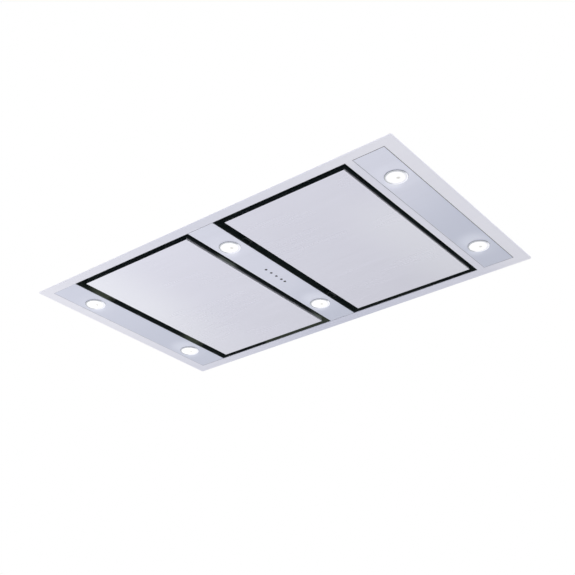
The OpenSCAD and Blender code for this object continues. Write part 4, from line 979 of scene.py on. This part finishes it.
BEAD_INSET, BEAD_SHIFT, BEAD_WIDTH, BEAD_HEIGHT = 74 * MM, 12 * MM, 9 * MM, 1.1 * MM
TRAY_WELD, WELD_EDGE, WELD_COUNTS = (2.2 * MM, 0.25 * MM, 10), 7 * MM, (7, 11, 7, 11)
PLATE_START, PLATE_END, PLATE_HALF, PLATE_ROUND = 24 * MM, 4 * MM, 20 * MM, 0.08 * MM
PLATE_SUNK, PLATE_PROUD = 0.1 * MM, 0.2 * MM
ARM_SCREW, ARM_MIDDLE, ARM_SCREWS_X = (3.2 * MM, 2.4 * MM, 18), 12 * MM, (12 * MM, 38 * MM)


def tray_beads(side):
    """Pressed beads across the back of a panel."""
    low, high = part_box(f"{side}_panel_tray")
    bm = bmesh.new()
    ridge(bm, high.y - low.y - 2 * BEAD_INSET, BEAD_WIDTH, BEAD_HEIGHT)
    columns = (low.x + BEAD_INSET + BEAD_SHIFT, (low.x + high.x) / 2, high.x - BEAD_INSET)
    repeat(bm, [(Vector((x, (low.y + high.y) / 2, high.z)), UP, FAR) for x in columns])
    keep(bm, f"{side}_tray_beads", tray_zinc, f"{side}_panel")


def tray_welds(side):
    """Spot welds along the edges of a panel's back."""
    low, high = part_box(f"{side}_panel_tray")
    left, right, near, far = low.x + WELD_EDGE, high.x - WELD_EDGE, low.y + WELD_EDGE, high.y - WELD_EDGE
    corners = [Vector((x, y, high.z)) for x, y in ((left, near), (right, near), (right, far), (left, far))]
    spots = []
    for start, end, count in zip(corners, corners[1:] + corners[:1], WELD_COUNTS):
        spots += row(start, end, count)
    bm = bmesh.new()
    turned(bm, DOME, *TRAY_WELD)
    repeat(bm, [(spot, UP, RIGHT) for spot in spots])
    keep(bm, f"{side}_tray_welds", weld_grey, f"{side}_panel")


def arm_rows(side):
    """The middles of a panel's two hinge arms along Y."""
    low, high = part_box(f"{side}_hinge_arms")
    return low.y + ARM_MIDDLE, high.y - ARM_MIDDLE


def strike_plates(side):
    """The steel plates on a panel's back that the catches hold."""
    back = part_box(f"{side}_panel_tray")[1].z
    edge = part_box(f"{side}_suction_panel")[1].x
    bm = bmesh.new()
    for y in arm_rows(side):
        bar(bm, Vector((edge - PLATE_START, y - PLATE_HALF, back - PLATE_SUNK)),
            Vector((edge - PLATE_END, y + PLATE_HALF, back + PLATE_PROUD)), PLATE_ROUND)
    keep(bm, f"{side}_strike_plates", bright_steel, f"{side}_panel", smooth=False)


def arm_screws(side):
    """Two screws in each hinge arm."""
    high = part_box(f"{side}_hinge_arms")[1]
    bm = bmesh.new()
    turned(bm, SOCKET_HEAD, *ARM_SCREW)
    repeat(bm, [(Vector((high.x - inset, y, high.z)), UP, RIGHT)
                for y in arm_rows(side) for inset in ARM_SCREWS_X])
    keep(bm, f"{side}_arm_screws", bright_steel, f"{side}_panel")


PAD_CELL, PAD_WIRE, PAD_SHEET = Vector((10 * MM, 7.5 * MM, 1)), 0.13, 0.25 * MM
PAD_WAVE, PAD_RISE = 22 * MM, 1.0 * MM


def filter_pad(side):
    """The fine corrugated mesh that lies over the coarse one in a filter's frame."""
    frame_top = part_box(f"{side}_filter_frame")[1].z
    low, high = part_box(f"{side}_filter_mesh")
    centre = (low + high) / 2
    cells = int((high.x - low.x) / PAD_CELL.x + (high.y - low.y) / PAD_CELL.y) + 2
    bm = bmesh.new()
    bmesh.ops.create_grid(bm, x_segments=cells, y_segments=cells, size=cells / 2)
    holes = bm.faces[:]
    bmesh.ops.inset_individual(bm, faces=holes, thickness=PAD_WIRE, use_even_offset=True)
    bmesh.ops.delete(bm, geom=holes, context="FACES")
    bmesh.ops.rotate(bm, verts=bm.verts, cent=ORIGIN, matrix=Matrix.Rotation(math.pi / 4, 3, "Z"))
    bmesh.ops.scale(bm, vec=PAD_CELL * math.sqrt(0.5), verts=bm.verts)
    for corner, sides in ((low - centre, (LEFT, NEAR)), (high - centre, (RIGHT, FAR))):
        for outward in sides:
            bmesh.ops.bisect_plane(bm, geom=bm.verts[:] + bm.edges[:] + bm.faces[:], plane_co=corner,
                                   plane_no=outward, clear_outer=True)
    for vert in bm.verts:
        vert.co.z = PAD_RISE * math.sin(vert.co.x / PAD_WAVE * math.tau)
    bmesh.ops.translate(bm, vec=Vector((centre.x, centre.y, (high.z + frame_top) / 2)), verts=bm.verts)
    bmesh.ops.solidify(bm, geom=bm.faces[:], thickness=PAD_SHEET)
    keep(bm, f"{side}_filter_pad", mesh_aluminium, smooth=False)


FILTER_RIVET, RIVET_INSET = (2.6 * MM, 0.9 * MM, 12), 6 * MM


def filter_rivets(side):
    """Rivets at the corners of a filter's frame."""
    low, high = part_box(f"{side}_filter_frame")
    bm = bmesh.new()
    turned(bm, DOME, *FILTER_RIVET)
    repeat(bm, [(Vector((x, y, low.z)), DOWN, RIGHT) for x in (low.x + RIVET_INSET, high.x - RIVET_INSET)
                for y in (low.y + RIVET_INSET, high.y - RIVET_INSET)])
    keep(bm, f"{side}_filter_rivets", bright_steel)


# Housing

shell_low, shell_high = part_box("housing_shell")
cover_low, cover_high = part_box("top_cover")
shell_middle = (shell_low + shell_high) / 2
RIB_WIDTH, RIB_HEIGHT = 24 * MM, 4.5 * MM
WALL_RIB_SHORTER, WALL_RIBS_Z = 170 * MM, (-52 * MM, 48 * MM)
COVER_RIB_LENGTH, COVER_RIBS_X = 400 * MM, (-270 * MM, -150 * MM, 150 * MM, 270 * MM, 390 * MM)
CORNER_SEAM = 12 * MM
LAP_WIDTH, LAP_PROUD, LAP_ROUND = CORNER_SEAM * 1.6, 0.9 * MM, 0.3 * MM
LAP_ABOVE, LAP_BELOW = 28 * MM, 1 * MM
LAP_SPOTS, LAP_SPOTS_IN, RIVET_EVERY = 7, CORNER_SEAM * 0.9, 3
CORNER_WELD, CORNER_RIVET = (2.6 * MM, 0.35 * MM, 10), (3.0 * MM, 1.3 * MM, 14)


def housing_walls():
    """The four walls, each with a point on its middle, its outward side, its run and its width."""
    size = shell_high - shell_low
    return [(Vector((shell_middle.x, shell_low.y, shell_middle.z)), NEAR, RIGHT, size.x),
            (Vector((shell_middle.x, shell_high.y, shell_middle.z)), FAR, LEFT, size.x),
            (Vector((shell_low.x, shell_middle.y, shell_middle.z)), LEFT, NEAR, size.y),
            (Vector((shell_high.x, shell_middle.y, shell_middle.z)), RIGHT, FAR, size.y)]


def housing_ribs():
    """Two long pressed beads on each wall of the housing."""
    for number, (point, outward, along, width) in enumerate(housing_walls()):
        bm = bmesh.new()
        ridge(bm, width - WALL_RIB_SHORTER, RIB_WIDTH, RIB_HEIGHT)
        repeat(bm, [(point + Vector((0, 0, rise)), outward, along) for rise in WALL_RIBS_Z])
        keep(bm, f"housing_ribs_{number + 1}", zinc_sheet)


def cover_ribs():
    """Pressed beads on the cover, two left of the outlet and three right of it."""
    bm = bmesh.new()
    ridge(bm, COVER_RIB_LENGTH, RIB_WIDTH, RIB_HEIGHT)
    repeat(bm, [(Vector((x, shell_middle.y, cover_high.z)), UP, FAR) for x in COVER_RIBS_X])
    keep(bm, "cover_ribs", zinc_sheet)


def corner_laps(low_z, high_z):
    """Lapped sheet at the housing's upright corners."""
    bm = bmesh.new()
    for x in (shell_low.x, shell_high.x):
        for y in (shell_low.y, shell_high.y):
            x_span = sorted((x, x + math.copysign(LAP_PROUD, x)))
            y_span = sorted((y, y - math.copysign(LAP_WIDTH, y)))
            bar(bm, Vector((x_span[0], y_span[0], low_z)), Vector((x_span[1], y_span[1], high_z)), LAP_ROUND)
    keep(bm, "corner_laps", zinc_sheet, smooth=False)


def corner_seams():
    """The laps at the housing's corners, with their spot welds and every third one a rivet."""
    low_z, high_z = shell_low.z + LAP_ABOVE, cover_low.z - LAP_BELOW
    welds, rivets = [], []
    for point, outward, along, width in housing_walls():
        lapped = abs(outward.x) > 0.5
        for end in (-1, 1):
            at = point + along * end * (width / 2 - LAP_SPOTS_IN)
            if lapped:
                at = at + outward * LAP_PROUD
            column = row(at + UP * (low_z - point.z), at + UP * (high_z - point.z), LAP_SPOTS)
            for k, spot in enumerate(column):
                (rivets if k % RIVET_EVERY == 0 and lapped else welds).append((spot, outward, along))
    corner_laps(low_z, high_z)
    for name, places, size, material, slot in (
            ("corner_welds", welds, CORNER_WELD, weld_grey, "zinc_sheet"),
            ("corner_rivets", rivets, CORNER_RIVET, bright_steel, "bright_steel")):
        bm = bmesh.new()
        turned(bm, DOME, *size)
        repeat(bm, places)
        keep(bm, name, material)


KNOCKOUT = ((13.0, 0.0), (13.0, 0.5), (12.2, 1.1), (11.2, 1.1), (10.8, 0.5), (10.2, 0.9), (0.0, 0.9))
KNOCKOUT_STEPS = 40


def cable_knockout():
    """The half-cut disc beside the control box that a fitter can knock out for a second cable."""
    place = middle("control_box")
    place.y = shell_low.y
    bm = bmesh.new()
    spun(bm, steps_from(0.0, 0.0, KNOCKOUT), ORIGIN, KNOCKOUT_STEPS)
    repeat(bm, [(place, NEAR, RIGHT)])
    keep(bm, "cable_knockout", weld_grey)


HANGER_SCREW = (5 * MM, 4 * MM)
FOOT_X, FOOT_Y, FOOT_SHEET, FOOT_SCREWS_Y = 53 * MM, 20 * MM, 2.5 * MM, (-11 * MM, 11 * MM)


def hanger_screws():
    """Two flanged hexagon screws in the foot of each hanger."""
    low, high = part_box("hanger_brackets")
    bm = bmesh.new()
    hex_screw(bm, *HANGER_SCREW)
    repeat(bm, [(Vector((x, y + shift, cover_high.z + FOOT_SHEET)), UP, RIGHT)
                for x in (low.x + FOOT_X, high.x - FOOT_X) for y in (low.y + FOOT_Y, high.y - FOOT_Y)
                for shift in FOOT_SCREWS_Y])
    keep(bm, "hanger_screws", bright_steel, smooth=False)


collar_low, collar_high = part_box("outlet_collar")
FLANGE_WIDTH, COLLAR_STEPS = 14 * MM, 96
DUCT_R = (collar_high.x - collar_low.x) / 2 - FLANGE_WIDTH
COLLAR_BEAD_ARC = [k * math.pi / 8 for k in range(9)]
COLLAR_SCREW = (3.0 * MM, 2.2 * MM, 18)
COLLAR_BEAD_R, COLLAR_BEAD_SUNK, COLLAR_BEAD_BELOW = 2.0 * MM, 0.4 * MM, 12 * MM
COLLAR_SCREWS, COLLAR_SCREWS_OUT, COLLAR_FLANGE = 6, 7.5 * MM, 1.2 * MM
COLLAR_SEAL_BELOW = 28 * MM
COLLAR_SEAL = ((-0.2, 0.0), (1.6, 0.0), (1.2, 2.0), (2.6, 4.0), (1.0, 5.0), (0.8, 8.0), (-0.2, 8.0),
               (-0.2, 0.0))


def collar_bead():
    """The rolled bead that holds the duct on the outlet collar."""
    z, r = collar_high.z - COLLAR_BEAD_BELOW, COLLAR_BEAD_R
    arc = [(DUCT_R - COLLAR_BEAD_SUNK + r * math.sin(a), z + r * math.cos(a))
           for a in COLLAR_BEAD_ARC]
    bm = bmesh.new()
    spun(bm, arc + [arc[0]], ORIGIN, COLLAR_STEPS)
    keep(bm, "collar_bead", zinc_sheet)


def collar_screws():
    """The screws round the outlet collar's flange."""
    around = [math.tau * (k + 0.5) / COLLAR_SCREWS for k in range(COLLAR_SCREWS)]
    reach, z = DUCT_R + COLLAR_SCREWS_OUT, collar_low.z + COLLAR_FLANGE
    bm = bmesh.new()
    turned(bm, SOCKET_HEAD, *COLLAR_SCREW)
    repeat(bm, [(Vector((reach * math.cos(a), reach * math.sin(a), z)), UP, RIGHT) for a in around])
    keep(bm, "collar_screws", bright_steel)


def collar_seal():
    """The outlet collar's black lip seal."""
    bm = bmesh.new()
    spun(bm, steps_from(DUCT_R, collar_high.z - COLLAR_SEAL_BELOW, COLLAR_SEAL), ORIGIN, COLLAR_STEPS)
    keep(bm, "collar_seal", seal_and_shadow_black)


GRIPS, GRIP_REACH, GRIP_ABOVE, GRIP_ROUND = 18, 11.6 * MM, 8.6 * MM, 0.4 * MM
GRIP_LOW, GRIP_HIGH = Vector((-0.9 * MM, -1.0 * MM, 0)), Vector((0.9 * MM, 1.0 * MM, 7.0 * MM))


def gland_grips():
    """The moulded grips round the gland's dome nut."""
    centre = middle("cable_gland")
    centre.z = cover_high.z + GRIP_ABOVE
    bm = bmesh.new()
    bar(bm, GRIP_LOW, GRIP_HIGH, GRIP_ROUND)
    around = [math.tau * k / GRIPS for k in range(GRIPS)]
    outwards = [Vector((math.cos(a), math.sin(a), 0)) for a in around]
    repeat(bm, [(centre + outward * GRIP_REACH, UP, outward) for outward in outwards])
    keep(bm, "gland_grips", black_plastic, smooth=False)


for i in range(LAMPS):
    lamp_diffuser(i + 1)
    lamp_ring(i + 1)
for make in (housing_ribs, cover_ribs, corner_seams, cable_knockout, hanger_screws, collar_bead,
             collar_screws, collar_seal, gland_grips, lamp_gaskets, seam_shade_beads, button_rings):
    make()
for side in SIDES:
    for make in (tray_beads, tray_welds, strike_plates, arm_screws, filter_pad, filter_rivets):
        make(side)


# Stage

REFLECTED_LEFT_X = (-4.6, -2.5)
REFLECTED_RIGHT = 0.88
REFLECTED_BACK_Y, REFLECTED_BACK = (2.6, 6.2), (1.0, 0.7)
CEILING_Z, CEILING_REACH = 0.05 * MM, 6.0
FLOOR_Z, FLOOR_REACH, FLOOR_SHADOW = -3.0, 8.0, 0.2
CUTOUT_ROOM = Vector((4 * MM, 4 * MM, 0))


def studio_fall_off(tree):
    """How bright the studio is over a point of the floor, as metal reflects it: 1 at the near left."""
    x, y, _ = axes(tree, add(tree, "TexCoord").outputs["Object"])
    across = ramp(tree, x, REFLECTED_LEFT_X, FALLING)
    back = ramp(tree, y, REFLECTED_BACK_Y, REFLECTED_BACK, smooth=False)
    side = plus(tree, times(tree, across, 1.0 - REFLECTED_RIGHT), REFLECTED_RIGHT)
    return times(tree, side, back)


def mixed(tree, factor, first, second):
    """One shader turning to another as factor goes from 0 to 1."""
    node = add(tree, "MixShader")
    for socket, source in zip(node.inputs, (factor, first, second)):
        tree.links.new(source, socket)
    return node.outputs["Shader"]


def stage_material(name, shadow_share, one_sided):
    """Pale surface that the camera and reflections see as white; one-sided, it isn't seen from behind."""
    material = bpy.data.materials.new(name)
    material.use_nodes = True
    tree = material.node_tree
    tree.nodes.clear()
    path = add(tree, "LightPath").outputs
    diffuse = add(tree, "BsdfDiffuse")
    diffuse.inputs["Color"].default_value = STAGE_PALE
    white = add(tree, "Emission")
    white.inputs["Color"].default_value = WHITE
    mirrored = path["Is Glossy Ray"]
    seen = larger(tree, path["Is Camera Ray"], path["Is Transmission Ray"])
    seen = larger(tree, times(tree, seen, 1.0 - shadow_share), mirrored)
    if not one_sided:
        dimmed = times(tree, mirrored, minus(tree, 1.0, studio_fall_off(tree)))
        tree.links.new(minus(tree, 1.0, dimmed), white.inputs["Strength"])
    result = mixed(tree, seen, diffuse.outputs["BSDF"], white.outputs["Emission"])
    if one_sided:
        behind = times(tree, add(tree, "NewGeometry").outputs["Backfacing"], path["Is Camera Ray"])
        result = mixed(tree, behind, result, add(tree, "BsdfTransparent").outputs["BSDF"])
    tree.links.new(result, add(tree, "OutputMaterial").inputs["Surface"])
    return material


def stage_sheet(name, low, high, z, margin, hole, material):
    """A flat sheet that reaches margin past the rectangle low to high; with that as a hole it faces down."""
    bm = bmesh.new()
    bmesh.ops.create_grid(bm, x_segments=1, y_segments=1, size=0.5)
    size = Vector((high.x - low.x + 2 * margin, high.y - low.y + 2 * margin, 1))
    bmesh.ops.scale(bm, vec=size, verts=bm.verts)
    bmesh.ops.translate(bm, vec=Vector(((low.x + high.x) / 2, (low.y + high.y) / 2, z)), verts=bm.verts)
    if hole:
        inner = list(bm.faces)
        bmesh.ops.inset_individual(bm, faces=inner, thickness=margin, use_even_offset=True)
        bmesh.ops.delete(bm, geom=inner, context="FACES")
        bmesh.ops.reverse_faces(bm, faces=bm.faces)
    place_mesh(bm, name, material)


stage_sheet("ceiling", shell_low - CUTOUT_ROOM, shell_high + CUTOUT_ROOM, CEILING_Z, CEILING_REACH, True,
            stage_material("ceiling_white", 0.0, True))
stage_sheet("floor", shell_low, shell_high, FLOOR_Z, FLOOR_REACH, False,
            stage_material("floor_pale", FLOOR_SHADOW, False))


# Camera and light

CAMERA_PLACE = Vector((1.5467, -1.9539, -1.413))
CAMERA_AZIMUTH, CAMERA_ELEVATION, CAMERA_ROLL = map(math.radians, (37.777, -28.866, -0.33))
CAMERA_LENS, CAMERA_SENSOR, CAMERA_RANGE = 64.19, 36.0, (0.05, 60.0)
AMBIENT = 0.55
LIGHT_SIZE, LIGHT_POWER = 3.0, 60.0
LIGHTS = (("below", (-0.8, 0.6, -2.6), (0, 0, 0)), ("above", (1.2, -1.6, 3.0), (0, 0, 0.2)))


def add_camera():
    """The camera that the photograph was taken with, as far as it can be told."""
    look = Vector((-math.sin(CAMERA_AZIMUTH) * math.cos(CAMERA_ELEVATION),
                   math.cos(CAMERA_AZIMUTH) * math.cos(CAMERA_ELEVATION), -math.sin(CAMERA_ELEVATION)))
    data = bpy.data.cameras.new("camera")
    data.sensor_width = CAMERA_SENSOR
    data.lens = CAMERA_LENS
    data.clip_start, data.clip_end = CAMERA_RANGE
    camera = bpy.data.objects.new("camera", data)
    camera.rotation_mode = "QUATERNION"
    camera.location = CAMERA_PLACE
    camera.rotation_quaternion = look.to_track_quat("-Z", "Y") @ Quaternion((0, 0, 1), CAMERA_ROLL)
    scene.collection.objects.link(camera)
    scene.camera = camera


def area_light(name, place, target):
    """A soft square light that itself isn't seen or reflected."""
    data = bpy.data.lights.new(name, "AREA")
    data.shape = "SQUARE"
    data.size = LIGHT_SIZE
    data.energy = LIGHT_POWER
    light = bpy.data.objects.new(name, data)
    light.location = place
    light.rotation_mode = "QUATERNION"
    light.rotation_quaternion = (Vector(target) - Vector(place)).to_track_quat("-Z", "Y")
    light.visible_camera = False
    light.visible_glossy = False
    scene.collection.objects.link(light)


def set_world():
    """White to the camera and in reflections, and a soft even light for everything else."""
    world = bpy.data.worlds.new("studio")
    scene.world = world
    world.use_nodes = True
    tree = world.node_tree
    background = tree.nodes["Background"]
    background.inputs["Color"].default_value = WHITE
    path = add(tree, "LightPath").outputs
    seen = larger(tree, path["Is Camera Ray"], path["Is Glossy Ray"])
    seen = larger(tree, seen, path["Is Transmission Ray"])
    tree.links.new(ramp(tree, seen, WHOLE, (AMBIENT, 1.0), smooth=False), background.inputs["Strength"])


add_camera()
set_world()
for light in LIGHTS:
    area_light(*light)
scene.view_settings.view_transform = "Standard"
